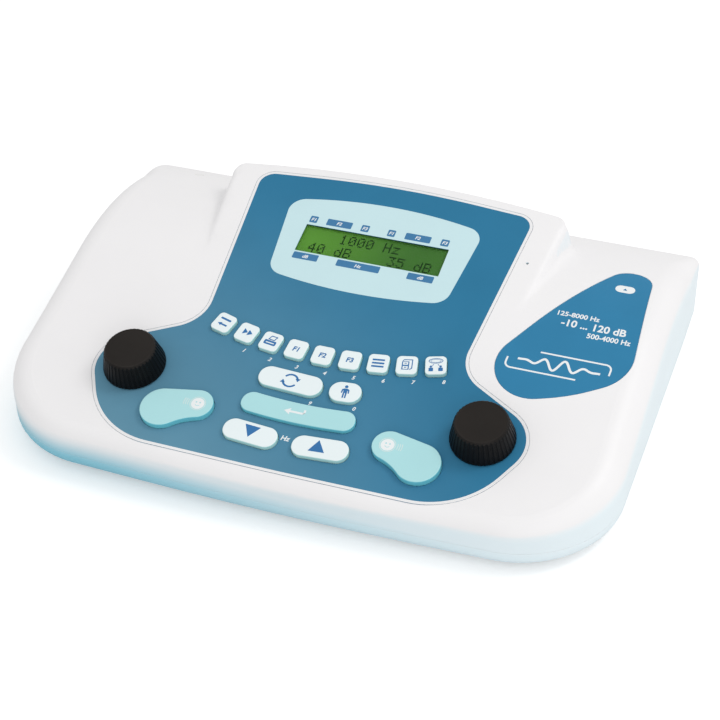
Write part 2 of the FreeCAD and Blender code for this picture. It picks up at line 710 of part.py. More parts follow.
def key_table():
    """Every key: node name, outline, place of its stem and height above the panel."""
    middle = (len(ROW_KEYS) - 1) / 2
    keys = []
    for i, name in enumerate(ROW_KEYS):
        x, y, turn = row_place(i - middle)
        keys.append((name, key_wire(SQUARE_KEY, x, y, turn), (x, y), KEY_RISE))
    singles = (
        ("key_cycle", CYCLE_KEY, CYCLE_PLACE),
        ("key_person", PERSON_KEY, PERSON_PLACE),
        ("key_down", ARROW_KEY, (-ARROW_PLACE[0], ARROW_PLACE[1])),
        ("key_up", ARROW_KEY, ARROW_PLACE),
    )
    for name, size, place in singles:
        keys.append((name, key_wire(size, place[0], place[1], arc_turn(*place)), place, KEY_RISE))
    keys.append(("key_enter", enter_wire(), (0.0, ENTER_Y), KEY_RISE))
    for name, side in (("tone_key_left", -1), ("tone_key_right", 1)):
        stem = (side * (PADDLE_BIG[0] + PADDLE_SMALL[0]) / 2, (PADDLE_BIG[1] + PADDLE_SMALL[1]) / 2)
        keys.append((name, paddle_wire(side), stem, PADDLE_RISE))
    return keys


# ---------------------------------------------------------------- moving pieces on the panel
def make_key(wire, stem, rise):
    """Key cap with its retaining flange under the cover and the stem that enters its switch."""
    cap = slab(wire, FLANGE_BOTTOM, rise)
    top_edges = [edge for edge in cap.Edges if edge.BoundBox.ZMin > rise - TINY - 1e-5]
    cap = cap.makeFillet(KEY_EDGE, top_edges)
    flange = slab(widened(wire, FLANGE_WIDTH), FLANGE_BOTTOM, FLANGE_TOP)
    pin = rod(STEM_RADIUS, SWITCH_TOP - STEM_INTO_SWITCH, FLANGE_BOTTOM + FLANGE_THICKNESS / 2, *stem)
    return cap.fuse([flange, pin]).removeSplitter()


def make_knob(side):
    """Fluted, tapered control knob, hollow underneath, with a hub bored for the shaft."""
    x = side * KNOB_PLACE[0]
    y = KNOB_PLACE[1]
    edge = 1.2
    dish = 0.4
    skirt = 1.6
    profile = Part.makePolygon([
        Vector(0, 0, KNOB_LIFT),
        Vector(KNOB_BASE_RADIUS, 0, KNOB_LIFT),
        Vector(KNOB_BASE_RADIUS, 0, KNOB_LIFT + skirt),
        Vector(KNOB_TOP_RADIUS, 0, KNOB_HEIGHT - edge),
        Vector(KNOB_TOP_RADIUS - edge, 0, KNOB_HEIGHT),
        Vector(KNOB_TOP_RADIUS - 2 * edge, 0, KNOB_HEIGHT - dish / 2),
        Vector(0, 0, KNOB_HEIGHT - dish),
        Vector(0, 0, KNOB_LIFT),
    ])
    knob = Part.Face(profile).revolve(Vector(0, 0, 0), Vector(0, 0, 1), 360)
    flutes = []
    low = Vector(KNOB_BASE_RADIUS + FLUTE_RADIUS * 0.35, 0, KNOB_LIFT + skirt)
    high = Vector(KNOB_TOP_RADIUS + FLUTE_RADIUS * 0.35, 0, KNOB_HEIGHT - edge)
    lean = high - low
    flute = Part.makeCylinder(FLUTE_RADIUS, lean.Length * 1.3, low - lean * 0.02, lean)
    for k in range(KNOB_FLUTES):
        turned = flute.copy()
        turned.rotate(Vector(0, 0, 0), Vector(0, 0, 1), 360.0 * k / KNOB_FLUTES)
        flutes.append(turned)
    knob = knob.cut(flutes)
    ceiling = KNOB_HEIGHT - dish - KNOB_SHELL
    hollow = Part.makeCone(KNOB_BASE_RADIUS - KNOB_SHELL, KNOB_TOP_RADIUS - KNOB_SHELL, ceiling - KNOB_LIFT,
                           Vector(0, 0, KNOB_LIFT))
    hub_bottom = BUSHING_RISE + 1
    hub = rod(KNOB_HUB_RADIUS, hub_bottom, ceiling + 1)
    bore = shaft_section(SHAFT_RADIUS + TINY, hub_bottom - 1, ceiling)
    knob = knob.cut(hollow).fuse(hub).cut(bore).removeSplitter()
    knob.translate(Vector(x, y, 0))
    return knob


def shaft_section(radius, low, high):
    """D-shaped shaft about the panel normal."""
    round_rod = rod(radius, low, high)
    off = block(SHAFT_FLAT, 2 * radius, -2 * radius, 2 * radius, low - 1, high + 1)
    return round_rod.cut(off)


def make_shaft(side):
    """Encoder shaft: round in its bushing, flatted in the knob's hub."""
    ceiling = KNOB_HEIGHT - KNOB_SHELL - 0.5
    round_part = rod(SHAFT_RADIUS, BOARD_TOP + 2, BUSHING_RISE)
    flat_part = shaft_section(SHAFT_RADIUS, BUSHING_RISE, ceiling)
    shaft = round_part.fuse(flat_part).removeSplitter()
    shaft.translate(Vector(side * KNOB_PLACE[0], KNOB_PLACE[1], 0))
    return shaft


def make_encoder(side):
    """Rotary encoder between board and cover: square body, threaded bushing through the cover."""
    x = side * KNOB_PLACE[0]
    y = KNOB_PLACE[1]
    body = centred_block(x, y, ENCODER_SIZE, ENCODER_SIZE, BOARD_TOP, INNER)
    bushing = rod(BUSHING_RADIUS, INNER - 1, BUSHING_RISE - RECESS_DEPTH, x, y)
    bore = rod(SHAFT_RADIUS + SHAFT_RUNNING_GAP, BOARD_TOP + 1.5, BUSHING_RISE, x, y)
    return body.fuse(bushing).cut(bore).removeSplitter()


def make_encoder_nuts():
    """Nut and washer of each encoder, on the floor of the cover's recess under the knob."""
    pieces = []
    for side in (-1, 1):
        x = side * KNOB_PLACE[0]
        y = KNOB_PLACE[1]
        hole = rod(BUSHING_RADIUS + 0.05, -RECESS_DEPTH - 1, BUSHING_RISE, x, y)
        washer_top = -RECESS_DEPTH + WASHER[1]
        pieces.append(rod(WASHER[0], -RECESS_DEPTH, washer_top, x, y).cut(hole))
        pieces.append(hexagon(NUT_ACROSS_FLATS, washer_top, washer_top + NUT_HEIGHT, x, y).cut(hole))
    return compound(pieces)


# ---------------------------------------------------------------- fixed pieces on the panel
def make_overlay(keys):
    """Printed front overlay, with holes for the keys, the display window and the dial bushings."""
    low = -RECESS_DEPTH
    sheet = slab(field_outline(OVERLAY_MARGIN), low, low + OVERLAY_THICKNESS)
    cuts = [slab(widened(wire, KEY_GAP), low - 1, 1) for _, wire, _, _ in keys]
    cuts.append(centred_block(0, 0, WINDOW_WIDTH, WINDOW_DEPTH, low - 1, 1))
    for side in (-1, 1):
        cuts.append(rod(WASHER[0] + FIT_GAP, low - 1, 1, side * KNOB_PLACE[0], KNOB_PLACE[1]))
    return sheet.cut(cuts)


def make_pane():
    """Clear pane under the overlay, on the ledge of the cover."""
    return centred_block(0, 0, PANE[0], PANE[1], -RECESS_DEPTH - PANE[2], -RECESS_DEPTH)


def lcd_sizes():
    """Rim opening of the display module, its top and the level of its glass."""
    rim_width = PANE[0] - 2 * PANE_LEDGE - 2 * FIT_GAP
    rim_depth = PANE[1] - 2 * PANE_LEDGE - 2 * FIT_GAP
    rim_top = -RECESS_DEPTH - PANE[2] - LCD_RIM_DROP
    return rim_width, rim_depth, rim_top


def make_lcd_frame():
    """Metal frame of the display module."""
    rim_width, rim_depth, rim_top = lcd_sizes()
    shoulder = INNER - FIT_GAP
    bottom = INNER - LCD_DEPTH
    raised = centred_block(0, 0, rim_width, rim_depth, bottom, rim_top)
    base = centred_block(0, 0, rim_width + 2 * LCD_STEP, rim_depth + 2 * LCD_STEP, bottom, shoulder)
    opening = centred_block(0, 0, rim_width - 2 * LCD_RIM, rim_depth - 2 * LCD_RIM, bottom - 1, 0)
    return raised.fuse(base).cut(opening).removeSplitter()


def make_lcd_glass():
    """Liquid-crystal cell, held in the frame and standing on its backlight."""
    rim_width, rim_depth, rim_top = lcd_sizes()
    top = rim_top - LCD_GLASS_DROP
    width = rim_width - 2 * LCD_RIM - 0.1
    depth = rim_depth - 2 * LCD_RIM - 0.1
    return centred_block(0, 0, width, depth, top - LCD_GLASS_THICKNESS, top)


def make_backlight():
    """Light guide between the display board and the glass."""
    rim_width, rim_depth, rim_top = lcd_sizes()
    top = rim_top - LCD_GLASS_DROP - LCD_GLASS_THICKNESS
    width = rim_width - 2 * LCD_RIM - 0.1
    depth = rim_depth - 2 * LCD_RIM - 0.1
    return centred_block(0, 0, width, depth, INNER - LCD_DEPTH, top)


def lcd_hole_places():
    return [(i * LCD_HOLES[0] / 2, j * LCD_HOLES[1] / 2) for i in (-1, 1) for j in (-1, 1)]


def make_lcd_board():
    """Circuit board of the display module, with its fixing holes and cable header."""
    top = INNER - LCD_DEPTH
    board = centred_block(0, 0, LCD_BOARD[0], LCD_BOARD[1], top - BOARD, top)
    radius = SMALL_SCREW[0] + SCREW_CLEARANCE
    return board.cut([rod(radius, top - BOARD - 1, top + 1, x, y) for x, y in lcd_hole_places()])


def make_lcd_screws():
    seat = INNER - LCD_DEPTH - BOARD - SCREW_HEAD_GAP
    return compound([screw(*SMALL_SCREW, x, y, seat) for x, y in lcd_hole_places()])


def make_key_board():
    """Circuit board under the keys; it carries the switches and the two encoders."""
    board = slab(rounded_wire(mirrored(KEY_BOARD_HALF)), BOARD_BOTTOM, BOARD_TOP)
    radius = SMALL_SCREW[0] + SCREW_CLEARANCE
    return board.cut([rod(radius, BOARD_BOTTOM - 1, BOARD_TOP + 1, x, y) for x, y in KEY_POSTS])


def make_key_board_screws():
    seat = BOARD_BOTTOM - SCREW_HEAD_GAP
    return compound([screw(*SMALL_SCREW, x, y, seat) for x, y in KEY_POSTS])


def make_switches(keys):
    """One push switch under each key, with the well that the key's stem enters."""
    solids = []
    for _, _, (x, y), _ in keys:
        body = centred_block(x, y, SWITCH_SIZE, SWITCH_SIZE, BOARD_TOP, SWITCH_TOP)
        well = rod(STEM_RADIUS + STEM_GAP, SWITCH_TOP - WELL_DEPTH, SWITCH_TOP + 1, x, y)
        solids.append(body.cut(well))
    return compound(solids)


def make_microphone():
    top = INNER - FIT_GAP
    return rod(MIC_RADIUS, top - MIC_LENGTH, top, *MIC_PLACE)


# ---------------------------------------------------------------- shells
def label_wire(grow):
    """Outline of the wing label in plan."""
    corners = [(LABEL_INNER + share * LABEL_REACH, y, radius) for share, y, radius in LABEL_CORNERS]
    wire = widened(rounded_wire(corners), grow)
    wire.translate(Vector(0, WINDOW_Y, 0))
    return wire


def make_wing_label():
    """Thin label that follows the right wing, in its own shallow recess."""
    above = RECESS_DEPTH - OVERLAY_THICKNESS
    prism = slab(label_wire(0), 0, TALL)
    return prism.common(wing_lump(above)).cut(wing_lump(RECESS_DEPTH))


def panel_posts():
    """Posts under the panel for the key board and the display board, and the microphone's ring."""
    into = WALL / 2
    solids = []
    places = [(x, y, BOARD_TOP) for x, y in KEY_POSTS]
    places += [(x, y, INNER - LCD_DEPTH) for x, y in lcd_hole_places()]
    for x, y, bottom in places:
        pilot = rod(PILOT_RADIUS, bottom - 1, INNER, x, y)
        solids.append(rod(POST_RADIUS, bottom, INNER + into, x, y).cut(pilot))
    ring = rod(MIC_RADIUS + FIT_GAP / 2 + MIC_RING, INNER - MIC_LENGTH * 0.7, INNER + into, *MIC_PLACE)
    solids.append(ring.cut(rod(MIC_RADIUS + FIT_GAP / 2, INNER - MIC_LENGTH, INNER, *MIC_PLACE)))
    return [on_panel(solid) for solid in solids]


def cover_posts():
    """Posts that take the housing screws, from the lower shell's posts up to the cover's roof."""
    bottom = UNDERSIDE + TRAY_POST_TOP + SPLIT_GAP
    solids = []
    roof = rounded_body(WALL / 2)
    for x, y in COVER_SCREWS:
        post = rod(COVER_POST, bottom, TALL, x, y).common(roof)
        solids.append(post.cut(rod(COVER_PILOT, bottom - 1, bottom + COVER_SCREW[3], x, y)))
    return solids


def panel_cuts(keys):
    """Everything cut through or into the panel, in the panel's frame."""
    floor = -RECESS_DEPTH
    cuts = [slab(field_outline(OVERLAY_MARGIN + FIT_GAP), floor, KNOB_HEIGHT)]
    cuts += [slab(widened(wire, KEY_GAP), 2 * INNER, 1) for _, wire, _, _ in keys]
    cuts.append(centred_block(0, 0, PANE[0] + FIT_GAP, PANE[1] + FIT_GAP, floor - PANE[2] - 0.02, 1))
    opening = (PANE[0] - 2 * PANE_LEDGE, PANE[1] - 2 * PANE_LEDGE)
    cuts.append(centred_block(0, 0, opening[0], opening[1], 2 * INNER, 1))
    for side in (-1, 1):
        cuts.append(rod(BUSHING_RADIUS + FIT_GAP, 2 * INNER, 1, side * KNOB_PLACE[0], KNOB_PLACE[1]))
    cuts.append(rod(MIC_HOLE, 2 * INNER, 1, *MIC_PLACE))
    return [on_panel(cut) for cut in cuts]


def rear_window():
    """Opening in the back wall in front of the connector plate."""
    wire = rounded_wire(box_corners(*REAR_WINDOW))
    return facing_back(slab(wire, -REAR_PLATE[2], 3 * WALL), 0, REAR_Z)


def make_cover(keys):
    """Upper shell: wings, pod and panel, with its posts, openings and recesses."""
    shell = outer_form(0).cut(outer_form(WALL))
    shell = shell.fuse(panel_posts() + cover_posts())
    below = centred_block(0, 0, 3 * HOUSING_HALF_WIDTH, 2 * HOUSING_DEPTH, 0, SPLIT_Z + SPLIT_GAP)
    post_end = UNDERSIDE + TRAY_POST_TOP + SPLIT_GAP
    spared = below.cut([rod(COVER_POST + FIT_GAP, post_end, TALL, x, y) for x, y in COVER_SCREWS])
    label_recess = slab(label_wire(FIT_GAP), 0, TALL).cut(wing_lump(RECESS_DEPTH))
    return shell.cut([spared, rear_window(), label_recess] + panel_cuts(keys))


def tray_posts():
    """Screw posts, board posts and the ribs that hold the connector plate."""
    solids = [rod(TRAY_POST, FLOOR_TOP - 1, UNDERSIDE + TRAY_POST_TOP, x, y) for x, y in COVER_SCREWS]
    for x, y in BOARD_POSTS:
        post = rod(POST_RADIUS + 0.6, FLOOR_TOP - 1, FLOOR_TOP + BOARD_STAND, x, y)
        solids.append(post.cut(rod(PILOT_RADIUS, FLOOR_TOP, MAIN_TOP, x, y)))
    rib_back = REAR_INNER - FIT_GAP / 2
    for side in (-1, 1):
        x = side * (REAR_PLATE[0] - REAR_RIB) / 2
        solids.append(centred_block(x, rib_back - REAR_RIB / 2, REAR_RIB, REAR_RIB, FLOOR_TOP - 1, REAR_Z))
    return solids


def tray_form(inset, low):
    """Block with the housing's outline and a rounded lower edge, far higher than the lower shell."""
    form = slab(housing_outline(inset), low, low + TALL)
    lower = [edge for edge in form.Edges if edge.BoundBox.ZMax < low + TINY]
    return form.makeFillet(UNDER_ROUND - inset, lower)


def plate_groove():
    """Room for the connector plate in the lower shell."""
    gap = FIT_GAP / 2
    half = REAR_PLATE[0] / 2 + gap
    return block(-half, half, REAR_INNER - gap, REAR_OUTER, REAR_Z - REAR_PLATE[1] / 2 - gap, TALL)


def make_tray():
    """Lower shell with its locating lip, posts, screw holes and foot pockets."""
    outside = tray_form(0, UNDERSIDE)
    lip_out = WALL + FIT_GAP / 2
    lip_in = slab(housing_outline(lip_out + LIP_THICKNESS), 0, TALL)
    lip = slab(housing_outline(lip_out), SPLIT_Z - WALL, SPLIT_Z + LIP_HEIGHT).cut(lip_in)
    seat = slab(housing_outline(WALL / 2), SPLIT_Z - WALL, SPLIT_Z).cut(lip_in)
    gap = centred_block(0, HALF_DEPTH, REAR_PLATE[0] + 2, 8 * WALL, SPLIT_Z, TALL)
    above = centred_block(0, 0, 3 * HOUSING_HALF_WIDTH, 2 * HOUSING_DEPTH, SPLIT_Z, 2 * TALL)
    shell = outside.cut([tray_form(WALL, FLOOR_TOP), above])
    tray = shell.fuse([lip.cut(gap), seat] + tray_posts()).common(outside)
    cuts = [plate_groove()]
    for x, y in COVER_SCREWS:
        cuts.append(rod(COUNTERBORE[0], UNDERSIDE - 1, UNDERSIDE + COUNTERBORE[1], x, y))
        cuts.append(rod(COVER_SCREW[0] + SCREW_CLEARANCE, UNDERSIDE, TALL, x, y))
    for x, y in FEET:
        cuts.append(rod(FOOT_RADIUS + FIT_GAP / 2, UNDERSIDE - 1, UNDERSIDE + FOOT_POCKET, x, y))
    return tray.cut(cuts).removeSplitter()


def make_feet():
    """Rubber feet, each a low cone in its pocket."""
    solids = []
    for x, y in FEET:
        foot = rod(FOOT_RADIUS, 0, UNDERSIDE + FOOT_POCKET, x, y)
        ground = [edge for edge in foot.Edges if edge.BoundBox.ZMax < TINY]
        solids.append(foot.makeChamfer(FOOT_STAND / 4, ground))
    return compound(solids)


def make_cover_screws():
    seat = UNDERSIDE + COUNTERBORE[1]
    return compound([screw(*COVER_SCREW, x, y, seat) for x, y in COVER_SCREWS])


# ---------------------------------------------------------------- rear connectors
def make_rear_plate():
    """Connector plate behind the opening of the back wall."""
    width, height, thickness = REAR_PLATE
    below = -thickness - 1
    plate = centred_block(0, 0, width, height, -thickness, 0)
    cuts = [rod(JACK_NOSE + 0.1, below, 1, x, 0) for x in JACK_X]
    cuts.append(centred_block(SERIAL_X, 0, SERIAL_SHELL[0] + 0.4, SERIAL_SHELL[1] + 0.4, below, 1))
    for side in (-1, 1):
        x = SERIAL_X + side * SERIAL_POST_PITCH / 2
        cuts.append(rod(SERIAL_POST_FLATS / 3 + 0.1, below, 1, x, 0))
    cuts.append(rod(INLET_NOSE + 0.1, below, 1, INLET_X, 0))
    cuts.append(centred_block(ROCKER_X, 0, ROCKER_CUTOUT[0], ROCKER_CUTOUT[1], below, 1))
    return facing_back(plate.cut(cuts), 0, REAR_Z)


def down_to_board():
    """Distance from the connectors' centre line down to the main board."""
    return REAR_Z - MAIN_TOP


def make_jack(x):
    """Phone jack: body on the main board, threaded nose through the plate, open bore."""
    behind = -REAR_PLATE[2]
    width, length = JACK_BODY
    drop = down_to_board()
    body = block(-width / 2, width / 2, -width / 2, drop, behind - length, behind)
    nose = rod(JACK_NOSE, behind - 1, JACK_REACH)
    bore = rod(JACK_BORE, behind - length + JACK_BORE_EXTRA, JACK_REACH + 1)
    return facing_back(body.fuse(nose).cut(bore).removeSplitter(), x, REAR_Z)


def jack_nuts():
    hole = rod(JACK_NOSE + 0.05, -1, JACK_REACH + 1)
    nut = hexagon(JACK_NUT[0], 0, JACK_NUT[1]).cut(hole)
    return [facing_back(nut, x, REAR_Z) for x in JACK_X]


def make_serial_port():
    """Nine-way data connector: flange behind the plate, shell through it, body on the board."""
    behind = -REAR_PLATE[2]
    width, height, reach = SERIAL_SHELL
    slope = height / 6
    outline = Part.makePolygon([
        Vector(-width / 2, -height / 2, 0),
        Vector(width / 2, -height / 2, 0),
        Vector(width / 2 - slope, height / 2, 0),
        Vector(-width / 2 + slope, height / 2, 0),
        Vector(-width / 2, -height / 2, 0),
    ])
    shell = slab(outline, behind - 1, reach)
    flange = centred_block(0, 0, SERIAL_FLANGE[0], SERIAL_FLANGE[1], behind - SERIAL_FLANGE[2], behind)
    body = block(-SERIAL_BODY[0] / 2, SERIAL_BODY[0] / 2, -SERIAL_BODY[1] / 2, down_to_board(),
                 behind - SERIAL_BODY[2], behind - SERIAL_FLANGE[2] / 2)
    holes = []
    for count, y in ((5, -PIN_PITCH / 2), (4, PIN_PITCH / 2)):
        for k in range(count):
            holes.append(rod(PIN_HOLE, behind, reach + 1, (k - (count - 1) / 2) * PIN_PITCH, y))
    for side in (-1, 1):
        holes.append(rod(PIN_HOLE * 2, behind - 2, 1, side * SERIAL_POST_PITCH / 2, 0))
    return facing_back(shell.fuse([flange, body]).cut(holes).removeSplitter(), SERIAL_X, REAR_Z)


def serial_posts():
    """Hexagonal jack posts each side of the data connector."""
    solids = []
    for side in (-1, 1):
        x = side * SERIAL_POST_PITCH / 2
        post = hexagon(SERIAL_POST_FLATS, 0, SERIAL_SHELL[2], x, 0)
        tail = rod(PIN_HOLE * 2 - 0.1, -REAR_PLATE[2] - 1.5, 0.5, x, 0)
        thread = rod(PIN_HOLE * 1.6, 0.8, SERIAL_SHELL[2] + 1, x, 0)
        solids.append(facing_back(post.fuse(tail).cut(thread).removeSplitter(), SERIAL_X, REAR_Z))
    return solids


def make_connector_nuts():
    """Everything that is screwed on from outside: the jacks' nuts and the data connector's posts."""
    return compound(jack_nuts() + serial_posts())


def make_power_inlet():
    """Low-voltage inlet: sleeve through the plate with its centre pin."""
    behind = -REAR_PLATE[2]
    width, length = INLET_BODY
    body = block(-width / 2, width / 2, -width / 2, down_to_board(), behind - length, behind)
    nose = rod(INLET_NOSE, behind - 1, JACK_REACH)
    bore = rod(INLET_BORE, behind - length + JACK_BORE_EXTRA, JACK_REACH + 1)
    pin = rod(INLET_PIN, behind - length + 1, 0)
    return facing_back(body.fuse(nose).cut(bore).fuse(pin).removeSplitter(), INLET_X, REAR_Z)


def rocker_cavity():
    """Inside of the rocker switch's body, about its own middle."""
    width = ROCKER_CUTOUT[0] - 2 * FIT_GAP - 2 * ROCKER_WALL
    height = ROCKER_CUTOUT[1] - 2 * FIT_GAP - 2 * ROCKER_WALL
    return width, height


def make_switch_body():
    """Power switch: snap-in body, bezel in front of the plate, pivot holes for the rocker."""
    width, height = rocker_cavity()
    bottom = -ROCKER_BODY_DEPTH
    body = centred_block(0, 0, width + 2 * ROCKER_WALL, height + 2 * ROCKER_WALL, bottom, ROCKER_BEZEL[2])
    bezel = centred_block(0, 0, ROCKER_BEZEL[0], ROCKER_BEZEL[1], 0, ROCKER_BEZEL[2])
    cavity = centred_block(0, 0, width, height, bottom + 3, ROCKER_BEZEL[2] + 1)
    pivot = Part.makeCylinder(ROCKER_PIN_RADIUS + SHAFT_RUNNING_GAP, height + 2 * ROCKER_WALL + 2,
                              Vector(0, -height / 2 - ROCKER_WALL - 1, -ROCKER_PIVOT_DEPTH), Vector(0, 1, 0))
    return facing_back(body.fuse(bezel).cut([cavity, pivot]).removeSplitter(), ROCKER_X, REAR_Z)


def make_rocker():
    """Rocker with a shallow V face and its two pivot pins, at rest tipped to the off side."""
    width, height = rocker_cavity()
    half = width / 2 - ROCKER_GAP
    tip = half * math.tan(math.radians(ROCKER_SWING))
    deep = ROCKER_PIVOT_DEPTH + 2
    outline = Part.makePolygon([
        Vector(0, 0, ROCKER_CROWN - tip / 2),
        Vector(half - 0.5, 0, ROCKER_CROWN + tip / 2),
        Vector(half - 1.0, 0, -ROCKER_PIVOT_DEPTH),
        Vector(half / 3, 0, -deep),
        Vector(-half / 3, 0, -deep),
        Vector(-half + 1.0, 0, -ROCKER_PIVOT_DEPTH),
        Vector(-half + 0.5, 0, ROCKER_CROWN + tip / 2),
        Vector(0, 0, ROCKER_CROWN - tip / 2),
    ])
    thick = height - 2 * ROCKER_GAP
    body = Part.Face(outline).extrude(Vector(0, thick, 0))
    body.translate(Vector(0, -thick / 2, 0))
    pin_length = height + ROCKER_WALL
    pins = Part.makeCylinder(ROCKER_PIN_RADIUS, pin_length, Vector(0, -pin_length / 2, -ROCKER_PIVOT_DEPTH),
                             Vector(0, 1, 0))
    rocker = body.fuse(pins).removeSplitter()
    rocker.rotate(Vector(0, 0, -ROCKER_PIVOT_DEPTH), Vector(0, 1, 0), ROCKER_SWING)
    return facing_back(rocker, ROCKER_X, REAR_Z)


# ---------------------------------------------------------------- main board
def board_edges():
    """Front and back edge of the main board in plan."""
    return MAIN_BOARD[1], REAR_INNER - FIT_GAP


def make_main_board():
    front, back = board_edges()
    half = MAIN_BOARD[0] / 2
    board = block(-half, half, front, back, MAIN_TOP - BOARD, MAIN_TOP)
    corner = [edge for edge in board.Edges if edge.BoundBox.ZLength > BOARD / 2]
    board = board.makeFillet(3.0, corner)
    holes = [rod(SMALL_SCREW[0] + SCREW_CLEARANCE, 0, TALL, x, y) for x, y in BOARD_POSTS]
    slot = [centred_block(side * (REAR_PLATE[0] / 2 - REAR_RIB / 2), REAR_INNER - REAR_RIB / 2, REAR_RIB + 1,
                          REAR_RIB + 2, 0, TALL) for side in (-1, 1)]
    return board.cut(holes + slot)


def make_main_board_screws():
    seat = MAIN_TOP + SCREW_HEAD_GAP
    return compound([screw(*SMALL_SCREW, x, y, seat, upwards=False) for x, y in BOARD_POSTS])


def make_chips():
    return compound([centred_block(x, y, width, depth, MAIN_TOP, MAIN_TOP + height)
                     for x, y, width, depth, height in CHIPS])


def make_capacitors():
    solids = []
    for x, y, radius, height in CAPACITORS:
        can = rod(radius, MAIN_TOP, MAIN_TOP + height, x, y)
        top = [edge for edge in can.Edges if edge.BoundBox.ZMin > MAIN_TOP + height - TINY]
        solids.append(can.makeFillet(0.6, top))
    return compound(solids)


def make_transformers():
    width, depth, height = TRANSFORMER_SIZE
    solids = []
    for x, y in TRANSFORMERS:
        core = centred_block(x, y, width, depth, MAIN_TOP, MAIN_TOP + height)
        coil = centred_block(x, y, width * 0.6, depth + 4, MAIN_TOP + 2, MAIN_TOP + height - 2)
        solids.append(core.fuse(coil).removeSplitter())
    return compound(solids)


def make_battery_holder():
    x, y, radius, thickness = BATTERY
    size, floor = BATTERY_HOLDER
    holder = centred_block(x, y, size, size, MAIN_TOP, MAIN_TOP + floor + thickness * 0.8)
    return holder.cut(rod(radius + 0.2, MAIN_TOP + floor, MAIN_TOP + TALL, x, y))


def make_battery():
    x, y, radius, thickness = BATTERY
    low = MAIN_TOP + BATTERY_HOLDER[1]
    return rod(radius, low, low + thickness, x, y)


def make_header(x, y):
    """Box header on the main board for a flat cable."""
    width, depth, height = HEADER
    return centred_block(x, y, width, depth, MAIN_TOP, MAIN_TOP + height)


def ribbon(x, points):
    """Flat cable in the YZ plane through a few points, with rounded bends."""
    width, thickness = RIBBON
    edges = []
    start = Vector(0, *points[0])
    for i in range(1, len(points) - 1):
        corner = Vector(0, *points[i])
        back = (Vector(0, *points[i - 1]) - corner).normalize()
        ahead = (Vector(0, *points[i + 1]) - corner).normalize()
        half = back.getAngle(ahead) / 2
        reach = RIBBON_BEND / math.tan(half)
        middle = (back + ahead).normalize() * (RIBBON_BEND / math.sin(half) - RIBBON_BEND)
        edges.append(Part.makeLine(start, corner + back * reach))
        edges.append(Part.Arc(corner + back * reach, corner + middle, corner + ahead * reach).toShape())
        start = corner + ahead * reach
    edges.append(Part.makeLine(start, Vector(0, *points[-1])))
    band = Part.Wire(edges).extrude(Vector(width, 0, 0))
    solid = band.makeOffsetShape(thickness, 1e-3, fill=True)
    solid.translate(Vector(x - width / 2, 0, 0))
    return solid


def panel_point(y, z):
    """Plan y and height of a point of the panel's frame."""
    placed = on_panel(Part.Vertex(Vector(0, y, z))).Point
    return placed.y, placed.z


KEY_CABLE_X = -50.0
LCD_CABLE_X = 20.0
KEY_CABLE_Y = -6.0
LCD_CABLE_Y = 84.0


def make_headers():
    """Both cable headers on the main board."""
    return compound([make_header(KEY_CABLE_X, KEY_CABLE_Y), make_header(LCD_CABLE_X, LCD_CABLE_Y)])


def make_key_cable():
    """Flat cable from the key board's back edge down to the main board."""
    top_y, top_z = panel_point(KEY_BOARD_HALF[0][1] - 4, BOARD_BOTTOM)
    end = MAIN_TOP + HEADER[2]
    path = [(top_y, top_z), (top_y, top_z - 14), (KEY_CABLE_Y, end + 12), (KEY_CABLE_Y, end)]
    return ribbon(KEY_CABLE_X, path)


def make_lcd_cable():
    """Flat cable from the display board down to the main board."""
    top_y, top_z = panel_point(LCD_BOARD[1] / 2 - 5, INNER - LCD_DEPTH - BOARD)
    end = MAIN_TOP + HEADER[2]
    path = [(top_y, top_z), (top_y, top_z - 16), (LCD_CABLE_Y, end + 14), (LCD_CABLE_Y, end)]
    return ribbon(LCD_CABLE_X, path)


# ---------------------------------------------------------------- all nodes
def build():
    """Every node by name."""
    keys = key_table()
    nodes = {"top_cover": make_cover(keys), "base_tray": make_tray(), "rubber_feet": make_feet()}
    nodes["cover_screws"] = make_cover_screws()
    nodes["panel_overlay"] = on_panel(make_overlay(keys))
    nodes["wing_label"] = make_wing_label()
    nodes["display_pane"] = on_panel(make_pane())
    nodes["lcd_frame"] = on_panel(make_lcd_frame())
    nodes["lcd_glass"] = on_panel(make_lcd_glass())
    nodes["lcd_backlight"] = on_panel(make_backlight())
    nodes["lcd_board"] = on_panel(make_lcd_board())
    nodes["lcd_screws"] = on_panel(make_lcd_screws())
    for name, wire, stem, rise in keys:
        nodes[name] = on_panel(make_key(wire, stem, rise))
    nodes["key_board"] = on_panel(make_key_board())
    nodes["key_board_screws"] = on_panel(make_key_board_screws())
    nodes["key_switches"] = on_panel(make_switches(keys))
    for side, word in ((-1, "left"), (1, "right")):
        nodes["knob_" + word] = on_panel(make_knob(side))
        nodes["dial_shaft_" + word] = on_panel(make_shaft(side))
        nodes["dial_encoder_" + word] = on_panel(make_encoder(side))
    nodes["encoder_nuts"] = on_panel(make_encoder_nuts())
    nodes["talkback_microphone"] = on_panel(make_microphone())
    nodes["rear_plate"] = make_rear_plate()
    for name, x in zip(JACK_NAMES, JACK_X):
        nodes[name] = make_jack(x)
    nodes["connector_nuts"] = make_connector_nuts()
    nodes["serial_port"] = make_serial_port()
    nodes["power_inlet"] = make_power_inlet()
    nodes["power_switch_body"] = make_switch_body()
    nodes["power_rocker"] = make_rocker()
    nodes["main_board"] = make_main_board()
    nodes["main_board_screws"] = make_main_board_screws()
    nodes["board_chips"] = make_chips()
    nodes["board_capacitors"] = make_capacitors()
    nodes["output_transformers"] = make_transformers()
    nodes["battery_holder"] = make_battery_holder()
    nodes["clock_battery"] = make_battery()
    nodes["cable_headers"] = make_headers()
    nodes["key_cable"] = make_key_cable()
    nodes["display_cable"] = make_lcd_cable()
    return nodes


